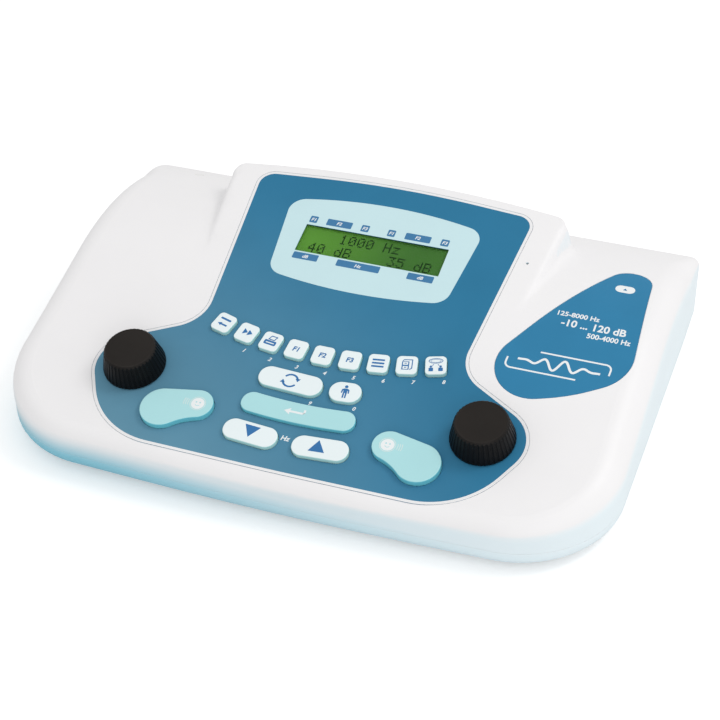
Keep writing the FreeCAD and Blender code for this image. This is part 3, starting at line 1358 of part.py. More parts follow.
def main():
    os.makedirs("parts", exist_ok=True)
    for name, shape in build().items():
        shape.exportStep(os.path.join("parts", name + ".step"))
        solids = len(shape.Solids)
        print(f"{name:24s} solids {solids:3d}  valid {shape.isValid()}  volume {shape.Volume:12.1f}")


main()
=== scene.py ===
"""Looks of a desk audiometer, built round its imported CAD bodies.

Lengths named with _mm are millimetres; everything that Blender receives is in metres.
"""

import logging
import math
from dataclasses import dataclass, field, replace
from enum import Enum
from typing import Callable, Protocol, Sequence

import bmesh
import bpy
from mathutils import Matrix, Vector
from mathutils.bvhtree import BVHTree


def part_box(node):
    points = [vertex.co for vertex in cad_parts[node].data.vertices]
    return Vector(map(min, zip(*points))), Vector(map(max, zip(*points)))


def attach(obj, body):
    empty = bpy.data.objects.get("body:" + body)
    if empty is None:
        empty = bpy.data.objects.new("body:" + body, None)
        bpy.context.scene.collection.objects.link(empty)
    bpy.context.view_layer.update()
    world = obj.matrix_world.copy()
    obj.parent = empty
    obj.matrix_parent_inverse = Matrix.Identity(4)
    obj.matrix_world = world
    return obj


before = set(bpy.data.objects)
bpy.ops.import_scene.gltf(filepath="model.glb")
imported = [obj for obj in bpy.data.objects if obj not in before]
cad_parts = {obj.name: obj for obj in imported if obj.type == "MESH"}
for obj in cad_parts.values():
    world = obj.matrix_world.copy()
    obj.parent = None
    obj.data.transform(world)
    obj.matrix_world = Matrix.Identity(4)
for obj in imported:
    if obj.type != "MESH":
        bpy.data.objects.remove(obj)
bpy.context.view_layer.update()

log = logging.getLogger("audiometer")

Rgb = tuple[float, float, float]
Point = tuple[float, float]
Loop = list[Point]
Shape = list[Loop]

MM = 0.001
INK_MM = 0.05                # thickness of print
THIN_INK_MM = 0.03           # thickness of finer print
SAME_LEVEL_MM = 0.01         # heights that count as one flat top
CAPITAL = 0.729              # height of the font's capitals at size one
TURN = 2 * math.pi


def srgb(red: int, green: int, blue: int) -> Rgb:
    """A display colour from 0 to 255 as a linear one.

    Args:
        red: Red part.
        green: Green part.
        blue: Blue part.

    Returns:
        The linear colour.
    """

    def channel(value: int) -> float:
        """One part as a linear share."""
        share = value / 255
        return share / 12.92 if share <= 0.04045 else ((share + 0.055) / 1.055) ** 2.4

    return channel(red), channel(green), channel(blue)


def linked(name: str, data: bpy.types.ID | None) -> bpy.types.Object:
    """A new object for a mesh, curve, lamp or camera, put into the scene."""
    made = bpy.data.objects.new(name, data)
    bpy.context.collection.objects.link(made)
    return made


# ------------------------------------------------------------------ flat outlines, in millimetres
def arc(centre: Point, radius: float, start: float, end: float, steps: int = 12) -> Loop:
    """Points along an arc, angles in degrees.

    Args:
        centre: Middle of the arc.
        radius: Its radius.
        start: First angle.
        end: Last angle.
        steps: Number of spans.

    Returns:
        The points, both ends among them.
    """
    points = []
    for k in range(steps + 1):
        angle = math.radians(start + (end - start) * k / steps)
        points.append((centre[0] + radius * math.cos(angle), centre[1] + radius * math.sin(angle)))
    return points


def circle(centre: Point, radius: float, steps: int = 40) -> Loop:
    """A closed circle."""
    return arc(centre, radius, 0, 360, steps)[:-1]


def rounded(corners: Sequence[tuple[float, float, float]], steps: int = 14) -> Loop:
    """A polygon whose corners are arcs tangent to both sides.

    Args:
        corners: x, y and radius of each corner.
        steps: Spans in each arc.

    Returns:
        The closed outline.
    """
    loop: Loop = []
    count = len(corners)
    for i, (x, y, radius) in enumerate(corners):
        here = Vector((x, y))
        back = (Vector(corners[i - 1][:2]) - here).normalized()
        ahead = (Vector(corners[(i + 1) % count][:2]) - here).normalized()
        half = back.angle(ahead) / 2
        middle = here + (back + ahead).normalized() * (radius / math.sin(half))
        start = here + back * (radius / math.tan(half)) - middle
        end = here + ahead * (radius / math.tan(half)) - middle
        sweep = start.angle_signed(end)
        for k in range(steps + 1):
            turned = start.copy()
            turned.rotate(Matrix.Rotation(-sweep * k / steps, 2))
            loop.append(tuple(middle + turned))
    return loop


def rounded_box(centre: Point, width: float, depth: float, radius: float) -> Loop:
    """A rounded rectangle."""
    x, y = width / 2, depth / 2
    corners = [(x, y), (-x, y), (-x, -y), (x, -y)]
    return rounded([(centre[0] + a, centre[1] + b, radius) for a, b in corners], 6)


SHARPEST_BEND = 0.35         # cosine at which a line's mitre is cut off
SHARPEST_CORNER = 0.5        # the same for a grown outline


def stroke(points: Sequence[Point], width: float) -> Loop:
    """An open line as a closed outline of a given width.

    Args:
        points: The line's points.
        width: Its width.

    Returns:
        The outline, mitred at the bends.
    """
    path = [Vector(p) for p in points]
    sides: list[Loop] = [[], []]
    for i, here in enumerate(path):
        before = (here - path[i - 1]).normalized() if i else None
        after = (path[i + 1] - here).normalized() if i + 1 < len(path) else None
        along = ((before or after) + (after or before)).normalized()
        lean = max(along.dot(before or after), SHARPEST_BEND)
        out = Vector((-along.y, along.x)) * (width / 2 / lean)
        sides[0].append(tuple(here + out))
        sides[1].append(tuple(here - out))
    return sides[0] + sides[1][::-1]


def moved(loop: Loop, centre: Point, turn: float = 0.0, scale: float = 1.0) -> Loop:
    """An outline scaled, turned by degrees and moved."""
    cos, sin = math.cos(math.radians(turn)) * scale, math.sin(math.radians(turn)) * scale
    return [(centre[0] + x * cos - y * sin, centre[1] + x * sin + y * cos) for x, y in loop]


def grown(loop: Loop, distance: float) -> Loop:
    """A counter-clockwise outline moved outwards, or inwards if distance is negative."""
    path = [Vector(p) for p in loop]
    points = []
    for i, here in enumerate(path):
        before = (here - path[i - 1]).normalized()
        after = (path[(i + 1) % len(path)] - here).normalized()
        along = (before + after).normalized()
        out = distance / max(along.dot(before), SHARPEST_CORNER)
        points.append(tuple(here + Vector((along.y, -along.x)) * out))
    return points


def loop_area(loop: Loop) -> float:
    """Signed area, positive if the loop runs counter-clockwise."""
    return sum(a[0] * b[1] - b[0] * a[1] for a, b in zip(loop, loop[1:] + loop[:1])) / 2


# ------------------------------------------------------------------ surfaces that carry print
class Carrier(Protocol):
    """A surface that print lies on."""

    def place(self, x: float, y: float, height: float) -> Vector:
        """World place of a flat point at a height above the surface."""


@dataclass
class Panel:
    """The sloping panel: x to the right, y up the slope, z out of it, from the display's middle.

    Args:
        tilt: Slope in degrees.
        pane_depth_mm: Depth of the display pane's middle under the panel.
    """

    tilt: float = 14.5
    pane_depth_mm: float = 1.0
    matrix: Matrix = field(init=False)

    def __post_init__(self) -> None:
        """Finds the panel from the display pane."""
        low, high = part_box("display_pane")
        turn = Matrix.Rotation(math.radians(self.tilt), 4, "X")
        normal = turn @ Vector((0, 0, 1))
        middle = (low + high) / 2 + normal * self.pane_depth_mm * MM
        self.matrix = Matrix.Translation(middle) @ turn @ Matrix.Scale(MM, 4)

    def place(self, x: float, y: float, height: float) -> Vector:
        """World place of a panel point."""
        return self.matrix @ Vector((x, y, height))

    def points(self, node: str) -> list[Vector]:
        """A node's vertices in the panel's own millimetres."""
        back = self.matrix.inverted()
        return [back @ vertex.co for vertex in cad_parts[node].data.vertices]

    def top(self, node: str) -> tuple[Point, float]:
        """Middle and height of a node's flat top.

        Args:
            node: CAD node.

        Returns:
            The middle in x and y, and the height.
        """
        points = self.points(node)
        height = max(p.z for p in points)
        flat = [p for p in points if p.z > height - SAME_LEVEL_MM]
        xs = [p.x for p in flat]
        ys = [p.y for p in flat]
        return ((min(xs) + max(xs)) / 2, (min(ys) + max(ys)) / 2), height

    def outline(self, node: str) -> Loop:
        """Outer edge of a node's flat top, counter-clockwise.

        Args:
            node: CAD node.

        Returns:
            The longest loop of edges that only one top face has.
        """
        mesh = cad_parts[node].data
        points = self.points(node)
        height = max(p.z for p in points)
        once: set[tuple[Point, Point]] = set()
        for face in mesh.polygons:
            corners = [points[i] for i in face.vertices]
            if min(p.z for p in corners) < height - SAME_LEVEL_MM:
                continue
            flat = [(round(p.x, 3), round(p.y, 3)) for p in corners]
            for a, b in zip(flat, flat[1:] + flat[:1]):
                if (b, a) in once:
                    once.remove((b, a))
                elif a != b:
                    once.add((a, b))
        following = dict(sorted(once))
        loops = []
        while following:
            start, here = following.popitem()
            loop = [start]
            while here != start and here in following:
                loop.append(here)
                here = following.pop(here)
            loops.append(loop)
        return max(loops, key=lambda loop: abs(loop_area(loop)))


@dataclass
class Draped:
    """A curved node whose top carries print: flat points drop onto it from above.

    Args:
        node: CAD node.
        origin: The node's own zero in plan, in metres.
    """

    node: str
    origin: Vector
    tree: BVHTree = field(init=False)

    def __post_init__(self) -> None:
        """Builds the search tree."""
        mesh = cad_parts[self.node].data
        points = [vertex.co.copy() for vertex in mesh.vertices]
        self.tree = BVHTree.FromPolygons(points, [tuple(p.vertices) for p in mesh.polygons])

    def place(self, x: float, y: float, height: float) -> Vector:
        """World place of a point in plan, dropped onto the node."""
        above = Vector((self.origin.x + x * MM, self.origin.y + y * MM, 1.0))
        spot = self.tree.ray_cast(above, Vector((0, 0, -1)))
        if spot[0] is None:
            spot = self.tree.find_nearest(Vector((above.x, above.y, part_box(self.node)[1].z)))
        normal = spot[1] if spot[1].z > 0 else -spot[1]
        return spot[0] + normal * height * MM


@dataclass
class Faced(Draped):
    """A node whose back face carries print: x to the right as seen from behind, y up."""

    def place(self, x: float, y: float, height: float) -> Vector:
        """World place of a point of the back face, from the node's own zero."""
        behind = Vector((self.origin.x - x * MM, 1.0, self.origin.z + y * MM))
        spot = self.tree.ray_cast(behind, Vector((0, -1, 0)))
        if spot[0] is None:
            spot = self.tree.find_nearest(Vector((behind.x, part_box(self.node)[1].y, behind.z)))
        normal = spot[1] if spot[1].y > 0 else -spot[1]
        return spot[0] + normal * height * MM


# ------------------------------------------------------------------ meshes
MOST_HALVINGS = 6


@dataclass
class Print:
    """Ink or a thin sheet on a carrier, made of flat outlines.

    Args:
        name: Name of the piece.
        carrier: Surface that it lies on.
        level_mm: Height of its underside above the carrier.
        thickness_mm: Its thickness.
        drape_mm: Longest edge that may stay undivided, or 0.
    """

    name: str
    carrier: Carrier
    level_mm: float = 0.0
    thickness_mm: float = INK_MM
    drape_mm: float = 0.0
    shapes: list[Shape] = field(default_factory=list)

    def add(self, outer: Loop, *holes: Loop) -> None:
        """Adds an outline with its holes."""
        self.shapes.append([outer, *holes])

    def add_shapes(self, shapes: Sequence[Shape]) -> None:
        """Adds several outlines, each with its holes."""
        for shape in shapes:
            self.add(*shape)

    def flat_mesh(self) -> bmesh.types.BMesh:
        """All outlines filled, in flat millimetres."""
        whole = bmesh.new()
        for loops in self.shapes:
            edges = []
            for loop in loops:
                verts = [whole.verts.new((x, y, 0)) for x, y in loop]
                edges += [whole.edges.new((a, b)) for a, b in zip(verts, verts[1:] + verts[:1])]
            bmesh.ops.triangle_fill(whole, use_beauty=True, edges=edges, normal=(0, 0, 1))
        if self.drape_mm:
            self.divide(whole)
        return whole

    def divide(self, whole: bmesh.types.BMesh) -> None:
        """Halves edges until none is longer than drape_mm."""
        for _ in range(MOST_HALVINGS):
            edges = [e for e in whole.edges if e.calc_length() > self.drape_mm]
            if not edges:
                return
            bmesh.ops.subdivide_edges(whole, edges=edges, cuts=1)
            bmesh.ops.triangulate(whole, faces=whole.faces[:])

    def build(self, body: str, material: bpy.types.Material, slot: str = "") -> bpy.types.Object:
        """Makes the piece as a thin closed solid.

        Args:
            body: CAD body that carries it.
            material: Its material.
            slot: Material slot of the record, or nothing; not used.

        Returns:
            The piece.
        """
        whole = self.flat_mesh()
        for face in whole.faces:
            if face.normal.z < 0:
                face.normal_flip()
        sheet = bmesh.ops.extrude_face_region(whole, geom=whole.faces[:])
        raised = {v for v in sheet["geom"] if isinstance(v, bmesh.types.BMVert)}
        low = self.level_mm
        high = self.level_mm + self.thickness_mm
        for vert in whole.verts:
            vert.co = self.carrier.place(vert.co.x, vert.co.y, high if vert in raised else low)
        bmesh.ops.recalc_face_normals(whole, faces=whole.faces[:])
        mesh = bpy.data.meshes.new(self.name)
        whole.to_mesh(mesh)
        whole.free()
        return add_piece(self.name, mesh, body, material)


def add_piece(
    name: str, mesh: bpy.types.Mesh, body: str, material: bpy.types.Material
) -> bpy.types.Object:
    """Puts a mesh into the scene and lets it ride on a body.

    Args:
        name: Name of the piece.
        mesh: Its mesh, in place.
        body: CAD body that carries it.
        material: Its material.

    Returns:
        The piece.
    """
    piece = linked(name, mesh)
    mesh.materials.append(material)
    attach(piece, body)
    log.info("%s rides on %s", name, body)
    return piece


def lettering(text: str, height: float, centre: Point, turn: float = 0.0, lean: float = 0.0,
              weight: float = 0.0) -> list[Shape]:
    """Outlines of a word in the built-in font.

    Args:
        text: What it says.
        height: Height of its capitals.
        centre: Middle of the word.
        turn: Turn in degrees.
        lean: Slant of the letters.
        weight: How much bolder than the plain font, as a share of the height.

    Returns:
        One list of outlines for each filled shape, its outer edge first.
    """
    curve = bpy.data.curves.new("lettering", "FONT")
    curve.body = text
    curve.size = 1.0
    curve.shear = lean
    curve.resolution_u = 4
    curve.fill_mode = "NONE"
    word = linked("lettering", curve)
    bpy.context.view_layer.update()
    mesh = bpy.data.meshes.new_from_object(word.evaluated_get(bpy.context.evaluated_depsgraph_get()))
    whole = bmesh.new()
    whole.from_mesh(mesh)
    loops = edge_loops(whole)
    whole.free()
    bpy.data.objects.remove(word)
    bpy.data.curves.remove(curve)
    bpy.data.meshes.remove(mesh)
    xs = [x for loop in loops for x, _ in loop]
    ys = [y for loop in loops for _, y in loop]
    tall = max(ys) > CAPITAL * 0.9
    x_middle = (min(xs) + max(xs)) / 2
    y_middle = CAPITAL / 2 if tall else (min(ys) + max(ys)) / 2
    loops = [[(x - x_middle, y - y_middle) for x, y in loop] for loop in loops]
    shapes = nested([moved(loop, centre, turn, height / CAPITAL) for loop in loops])
    return [
        [grown(loop if (loop_area(loop) > 0) == (k == 0) else loop[::-1], weight * height)
         for k, loop in enumerate(shape)]
        for shape in shapes
    ]


def edge_loops(whole: bmesh.types.BMesh) -> list[Loop]:
    """Closed loops of a mesh that has only edges."""
    loops = []
    left = set(whole.verts)
    while left:
        start = left.pop()
        loop = [start]
        here = start
        while True:
            ahead = [e.other_vert(here) for e in here.link_edges if e.other_vert(here) in left]
            if not ahead:
                break
            here = ahead[0]
            left.discard(here)
            loop.append(here)
        if len(loop) > 2:
            loops.append([(v.co.x, v.co.y) for v in loop])
    return loops


def inside(point: Point, loop: Loop) -> bool:
    """Whether a point lies within a loop."""
    x, y = point
    within = False
    for (ax, ay), (bx, by) in zip(loop, loop[1:] + loop[:1]):
        if (ay > y) != (by > y) and x < ax + (bx - ax) * (y - ay) / (by - ay):
            within = not within
    return within


def nested(loops: list[Loop]) -> list[Shape]:
    """Loops sorted into shapes: each outer edge with the holes in it."""
    order = sorted(loops, key=lambda loop: -abs(loop_area(loop)))
    shapes: list[Shape] = []
    for loop in order:
        for shape in shapes:
            if inside(loop[0], shape[0]):
                shape.append(loop)
                break
        else:
            shapes.append([loop])
    return shapes


# ------------------------------------------------------------------ shader node groups
class Effect(Enum):
    """Shared effects, each a shader node group."""

    GRAIN = "moulded_grain"
    SIDE_SHADE_MASK = "painted_side_shade_mask"
    BOUNCE_SHADE = "painted_bounce_shade"


class Nodes:
    """Short way to add and link nodes of one tree."""

    def __init__(self, tree: bpy.types.NodeTree) -> None:
        """Keeps the tree."""
        self.tree = tree

    def add(self, kind: str, **settings: object) -> bpy.types.Node:
        """A new node with some of its settings.

        Args:
            kind: Node type without its prefix.
            **settings: Properties, or input values by socket name with spaces as underscores.

        Returns:
            The node.
        """
        node = self.tree.nodes.new("ShaderNode" + kind)
        for key, value in settings.items():
            if hasattr(node, key):
                setattr(node, key, value)
            else:
                node.inputs[key.replace("_", " ")].default_value = value
        return node

    def link(self, out: bpy.types.NodeSocket, into: bpy.types.NodeSocket) -> None:
        """Links two sockets."""
        self.tree.links.new(out, into)

    def feed(self, socket: bpy.types.NodeSocket, value: object) -> None:
        """Links a socket into another, or sets it to a number or a colour."""
        if isinstance(value, bpy.types.NodeSocket):
            self.link(value, socket)
        elif isinstance(value, tuple) and socket.type == "RGBA":
            socket.default_value = (*value, 1.0)
        else:
            socket.default_value = value

    def group(self, effect: Effect, **settings: float) -> bpy.types.Node:
        """A shared effect with some of its inputs set.

        Args:
            effect: Which effect.
            **settings: Input values by socket name with spaces as underscores.

        Returns:
            The group's node.
        """
        return self.add("Group", node_tree=bpy.data.node_groups[effect.value], **settings)

    def place(self) -> bpy.types.NodeSocket:
        """Place on the object, in metres."""
        return self.add("TexCoord").outputs["Object"]

    def along(self, axis: str) -> bpy.types.NodeSocket:
        """Place on the object along one axis, in metres."""
        split = self.add("SeparateXYZ")
        self.link(self.place(), split.inputs[0])
        return split.outputs[axis]

    def math(self, operation: str, first: object, second: object = 0.0) -> bpy.types.NodeSocket:
        """Result of a Math node on two sockets or numbers."""
        node = self.add("Math", operation=operation)
        self.feed(node.inputs[0], first)
        self.feed(node.inputs[1], second)
        return node.outputs[0]

    def ramp(self, value: object, low: object, high: object) -> bpy.types.NodeSocket:
        """Smooth step of a value from 0 at low to 1 at high."""
        node = self.add("MapRange", interpolation_type="SMOOTHSTEP")
        for name, given in (("Value", value), ("From Min", low), ("From Max", high)):
            self.feed(node.inputs[name], given)
        return node.outputs[0]

    def mix(self, share: object, first: object, second: object, blend: str = "MIX") -> bpy.types.NodeSocket:
        """Colour between two colours.

        Args:
            share: Share of the second.
            first: Socket or colour.
            second: Socket or colour.
            blend: How they mix.

        Returns:
            The colour.
        """
        node = self.add("Mix", data_type="RGBA", blend_type=blend)
        for index, value in ((0, share), (6, first), (7, second)):
            self.feed(node.inputs[index], value)
        return node.outputs[2]


def emptied(owner: bpy.types.ID) -> Nodes:
    """Nodes of a material or of the world, with the ones that it starts with taken out."""
    owner.use_nodes = True
    owner.node_tree.nodes.clear()
    return Nodes(owner.node_tree)


def new_group(
    effect: Effect, inputs: dict[str, float], outputs: Sequence[str]
) -> tuple[Nodes, bpy.types.Node, bpy.types.Node]:
    """An empty group with float sockets.

    Args:
        effect: Which effect.
        inputs: Names and first values.
        outputs: Names.

    Returns:
        Its nodes, its input node and its output node.
    """
    tree = bpy.data.node_groups.new(effect.value, "ShaderNodeTree")
    for name, value in inputs.items():
        tree.interface.new_socket(name, in_out="INPUT", socket_type="NodeSocketFloat").default_value = value
    for name in outputs:
        tree.interface.new_socket(name, in_out="OUTPUT", socket_type="NodeSocketFloat")
    nodes = Nodes(tree)
    return nodes, tree.nodes.new("NodeGroupInput"), tree.nodes.new("NodeGroupOutput")


def grain_group() -> None:
    """Fine moulded texture, slow clouding and faint handling marks."""
    nodes, given, result = new_group(
        Effect.GRAIN, {"Grain": 2500.0, "Cloud": 25.0}, ("Height", "Cloud", "Marks")
    )
    place = nodes.place()
    fine = nodes.add("TexNoise", Detail=2.0, Roughness=0.6)
    slow = nodes.add("TexNoise", Detail=3.0, Roughness=0.55)
    marks = nodes.add("TexNoise", Detail=6.0, Roughness=0.7, Distortion=1.2)
    nodes.link(given.outputs["Grain"], fine.inputs["Scale"])
    nodes.link(given.outputs["Cloud"], slow.inputs["Scale"])
    nodes.link(nodes.math("MULTIPLY", given.outputs["Cloud"], 3.0), marks.inputs["Scale"])
    for texture in (fine, slow, marks):
        nodes.link(place, texture.inputs["Vector"])
    nodes.link(fine.outputs["Fac"], result.inputs["Height"])
    nodes.link(nodes.ramp(slow.outputs["Fac"], 0.3, 0.7), result.inputs["Cloud"])
    nodes.link(nodes.ramp(marks.outputs["Fac"], 0.5, 0.75), result.inputs["Marks"])


def side_shade_mask_group() -> None:
    """How far a surface turns away from the direction that the piece faces, the mask for painted side shade.
    """
    nodes, given, result = new_group(
        Effect.SIDE_SHADE_MASK, {"Face X": 0.0, "Face Y": 0.0, "Face Z": 1.0, "Start": 0.95, "End": 0.4}, ("Side",)
    )
    facing = nodes.add("CombineXYZ")
    for axis in "XYZ":
        nodes.link(given.outputs["Face " + axis], facing.inputs[axis])
    turn = nodes.add("VectorMath", operation="DOT_PRODUCT")
    nodes.link(nodes.add("TexCoord").outputs["Normal"], turn.inputs[0])
    nodes.link(facing.outputs[0], turn.inputs[1])
    side = nodes.ramp(turn.outputs["Value"], given.outputs["Start"], given.outputs["End"])
    nodes.link(side, result.inputs["Side"])


def bounce_shade_group() -> None:
    """Masks for the painted teal bounce light and shade that rises from the foot of the housing, and for its
    strength across the housing.
    """
    nodes, given, result = new_group(
        Effect.BOUNCE_SHADE, {"Low": 0.006, "High": 0.03, "Left": -0.17, "Right": 0.21}, ("Foot", "Across")
    )
    foot = nodes.ramp(nodes.along("Z"), given.outputs["High"], given.outputs["Low"])
    across = nodes.ramp(nodes.along("X"), given.outputs["Left"], given.outputs["Right"])
    nodes.link(foot, result.inputs["Foot"])
    nodes.link(across, result.inputs["Across"])


# ------------------------------------------------------------------ finishes
BUMP_STRENGTH = 0.6


@dataclass(frozen=True)
class Finish:
    """A plain moulded, painted or metal surface.

    Args:
        name: Name of the material.
        color: Linear base colour.
        roughness: Middle roughness.
        metallic: Metallic share.
        tone: How far the colour clouds.
        spread: How far the roughness varies.
        grain: Grains to the metre.
        bump_mm: Height of the grain.
        coat: Weight of a clear coat.
        specular: Specular level.
    """

    name: str
    color: Rgb
    roughness: float = 0.45
    metallic: float = 0.0
    tone: float = 0.04
    spread: float = 0.08
    grain: float = 2500.0
    bump_mm: float = 0.01
    coat: float = 0.0
    specular: float = 0.5

    def build(self) -> bpy.types.Material:
        """Makes the material.

        Returns:
            The material, with clouded colour, varied roughness and fine grain.
        """
        material = bpy.data.materials.new(self.name)
        nodes = emptied(material)
        shader = nodes.add("BsdfPrincipled", Metallic=self.metallic, Coat_Weight=self.coat,
                           Specular_IOR_Level=self.specular)
        nodes.link(shader.outputs[0], nodes.add("OutputMaterial").inputs["Surface"])
        surface = nodes.group(Effect.GRAIN, Grain=self.grain)
        color = self.colored(nodes, surface)
        nodes.link(self.clouded(nodes, surface, color), shader.inputs["Base Color"])
        low = nodes.math("MULTIPLY", surface.outputs["Marks"], self.spread)
        nodes.link(nodes.math("ADD", low, self.roughness - self.spread / 3), shader.inputs["Roughness"])
        bump = nodes.add("Bump", Strength=BUMP_STRENGTH, Distance=self.bump_mm * MM)
        nodes.link(surface.outputs["Height"], bump.inputs["Height"])
        nodes.link(bump.outputs[0], shader.inputs["Normal"])
        self.extend(nodes, shader, surface)
        return material

    def clouded(self, nodes: Nodes, surface: bpy.types.Node, color: object) -> bpy.types.NodeSocket:
        """The colour, a little darker in slow clouds."""
        share = nodes.math("MULTIPLY", surface.outputs["Cloud"], self.tone)
        return nodes.mix(share, color, (0.0, 0.0, 0.0))

    def colored(self, nodes: Nodes, surface: bpy.types.Node) -> object:
        """The base colour, a socket or a plain colour."""
        return self.color

    def extend(self, nodes: Nodes, shader: bpy.types.Node, surface: bpy.types.Node) -> None:
        """Anything more that a finish needs."""


@dataclass(frozen=True)
class BounceShadedFinish(Finish):
    """Housing plastic in its own colour, with teal bounce light and shade painted at the foot and on steep
    sides.

    Args:
        left: Colour of the painted shade at the left end, where less light falls.
        right: Colour of the painted shade at the right end.
        low_mm: Height of the full painted shade.
        high_mm: Height where the painted shade ends.
        left_wall: Share of the painted shade on upright walls at the left end.
        right_wall: The same at the right end.
        steep: Upward share of a surface where the wall starts and where it is full.
    """

    # colours of the painted teal bounce shade, deeper at the left where less light falls
    left: Rgb = srgb(126, 196, 216)
    right: Rgb = srgb(234, 246, 251)
    low_mm: float = 12.0
    high_mm: float = 31.0
    left_wall: float = 0.12
    right_wall: float = 0.9
    steep: Point = (0.45, 0.05)

    def colored(self, nodes: Nodes, surface: bpy.types.Node) -> object:
        """Own colour above, painted bounce shade below and on the walls."""
        fade = nodes.group(Effect.BOUNCE_SHADE, Low=self.low_mm * MM, High=self.high_mm * MM)
        lean = nodes.group(Effect.SIDE_SHADE_MASK, Start=self.steep[0], End=self.steep[1])
        # painted shade: teal bounce colour, mixed from the left colour to the right one
        painted_shade_color = nodes.mix(fade.outputs["Across"], self.left, self.right)
        reach = nodes.math("MULTIPLY", fade.outputs["Across"], self.right_wall - self.left_wall)
        wall = nodes.math("MULTIPLY", lean.outputs["Side"], nodes.math("ADD", reach, self.left_wall))
        share = nodes.math("MAXIMUM", fade.outputs["Foot"], wall)
        share = nodes.math("MULTIPLY", share, nodes.ramp(lean.outputs["Side"], 0.0, 0.35))
        return nodes.mix(share, self.color, painted_shade_color)


@dataclass(frozen=True)
class SideShadedFinish(Finish):
    """Key plastic whose sides carry painted shade, a deeper colour than its top.

    Args:
        side: Colour of the painted shade on the sides.
        facing: Direction that the top faces.
    """

    side: Rgb = (0.3, 0.5, 0.5)
    facing: Rgb = (0.0, -0.25, 0.968)

    def colored(self, nodes: Nodes, surface: bpy.types.Node) -> object:
        """Top colour that runs into the painted side shade over the rounded edge."""
        x, y, z = self.facing
        lean = nodes.group(Effect.SIDE_SHADE_MASK, Face_X=x, Face_Y=y, Face_Z=z)
        return nodes.mix(lean.outputs["Side"], self.color, self.side)


@dataclass(frozen=True)
class SheenPaintedFinish(Finish):
    """Printed sheet with a painted sheen: paler towards one corner, where a broad reflection of light lies.

    Args:
        pale: Colour of the painted sheen at the corner.
        corner: Place of the corner in plan, in metres.
        reach: How far the painted sheen runs, in metres.
    """

    pale: Rgb = srgb(107, 153, 174)
    corner: Point = (-0.13, -0.2)
    reach: float = 0.31

    def colored(self, nodes: Nodes, surface: bpy.types.Node) -> object:
        """Own colour, paler near the corner where the sheen is painted."""
        away = nodes.add("VectorMath", operation="DISTANCE")
        flat = nodes.add("VectorMath", operation="MULTIPLY")
        flat.inputs[1].default_value = (1.0, 1.0, 0.0)
        nodes.link(nodes.place(), flat.inputs[0])
        nodes.link(flat.outputs[0], away.inputs[0])
        away.inputs[1].default_value = (*self.corner, 0.0)
        # painted sheen: a broad reflection of light, paler towards the corner
        return nodes.mix(nodes.ramp(away.outputs["Value"], self.reach, 0.0), self.color, self.pale)


@dataclass(frozen=True)
class ClearFinish(Finish):
    """Clear sheet, seen mostly by its gloss.

    Args:
        alpha: How much of it shows.
    """

    alpha: float = 0.05

    def extend(self, nodes: Nodes, shader: bpy.types.Node, surface: bpy.types.Node) -> None:
        """Lets the light through, less where it is marked."""
        veil = nodes.math("MULTIPLY", surface.outputs["Marks"], self.alpha * 0.3)
        nodes.link(nodes.math("ADD", veil, self.alpha), shader.inputs["Alpha"])


@dataclass(frozen=True)
class ScreenFinish(Finish):
    """Lit liquid-crystal cell, darker to the right.

    Args:
        glow: Strength of its own light.
        far: Colour at the right end.
        span: Where the darkening starts and ends in x, in metres.
    """

    glow: float = 0.12
    far: Rgb = srgb(66, 118, 48)
    span: Point = (-0.04, 0.03)

    def colored(self, nodes: Nodes, surface: bpy.types.Node) -> object:
        """Own colour at the left that runs into the far colour."""
        return nodes.mix(nodes.ramp(nodes.along("X"), *self.span), self.color, self.far)

    def extend(self, nodes: Nodes, shader: bpy.types.Node, surface: bpy.types.Node) -> None:
        """Adds the glow of the backlight."""
        shader.inputs["Emission Strength"].default_value = self.glow
        light = self.colored(nodes, surface)
        nodes.link(nodes.mix(surface.outputs["Cloud"], light, (0.8, 0.8, 0.8), "MULTIPLY"),
                   shader.inputs["Emission Color"])


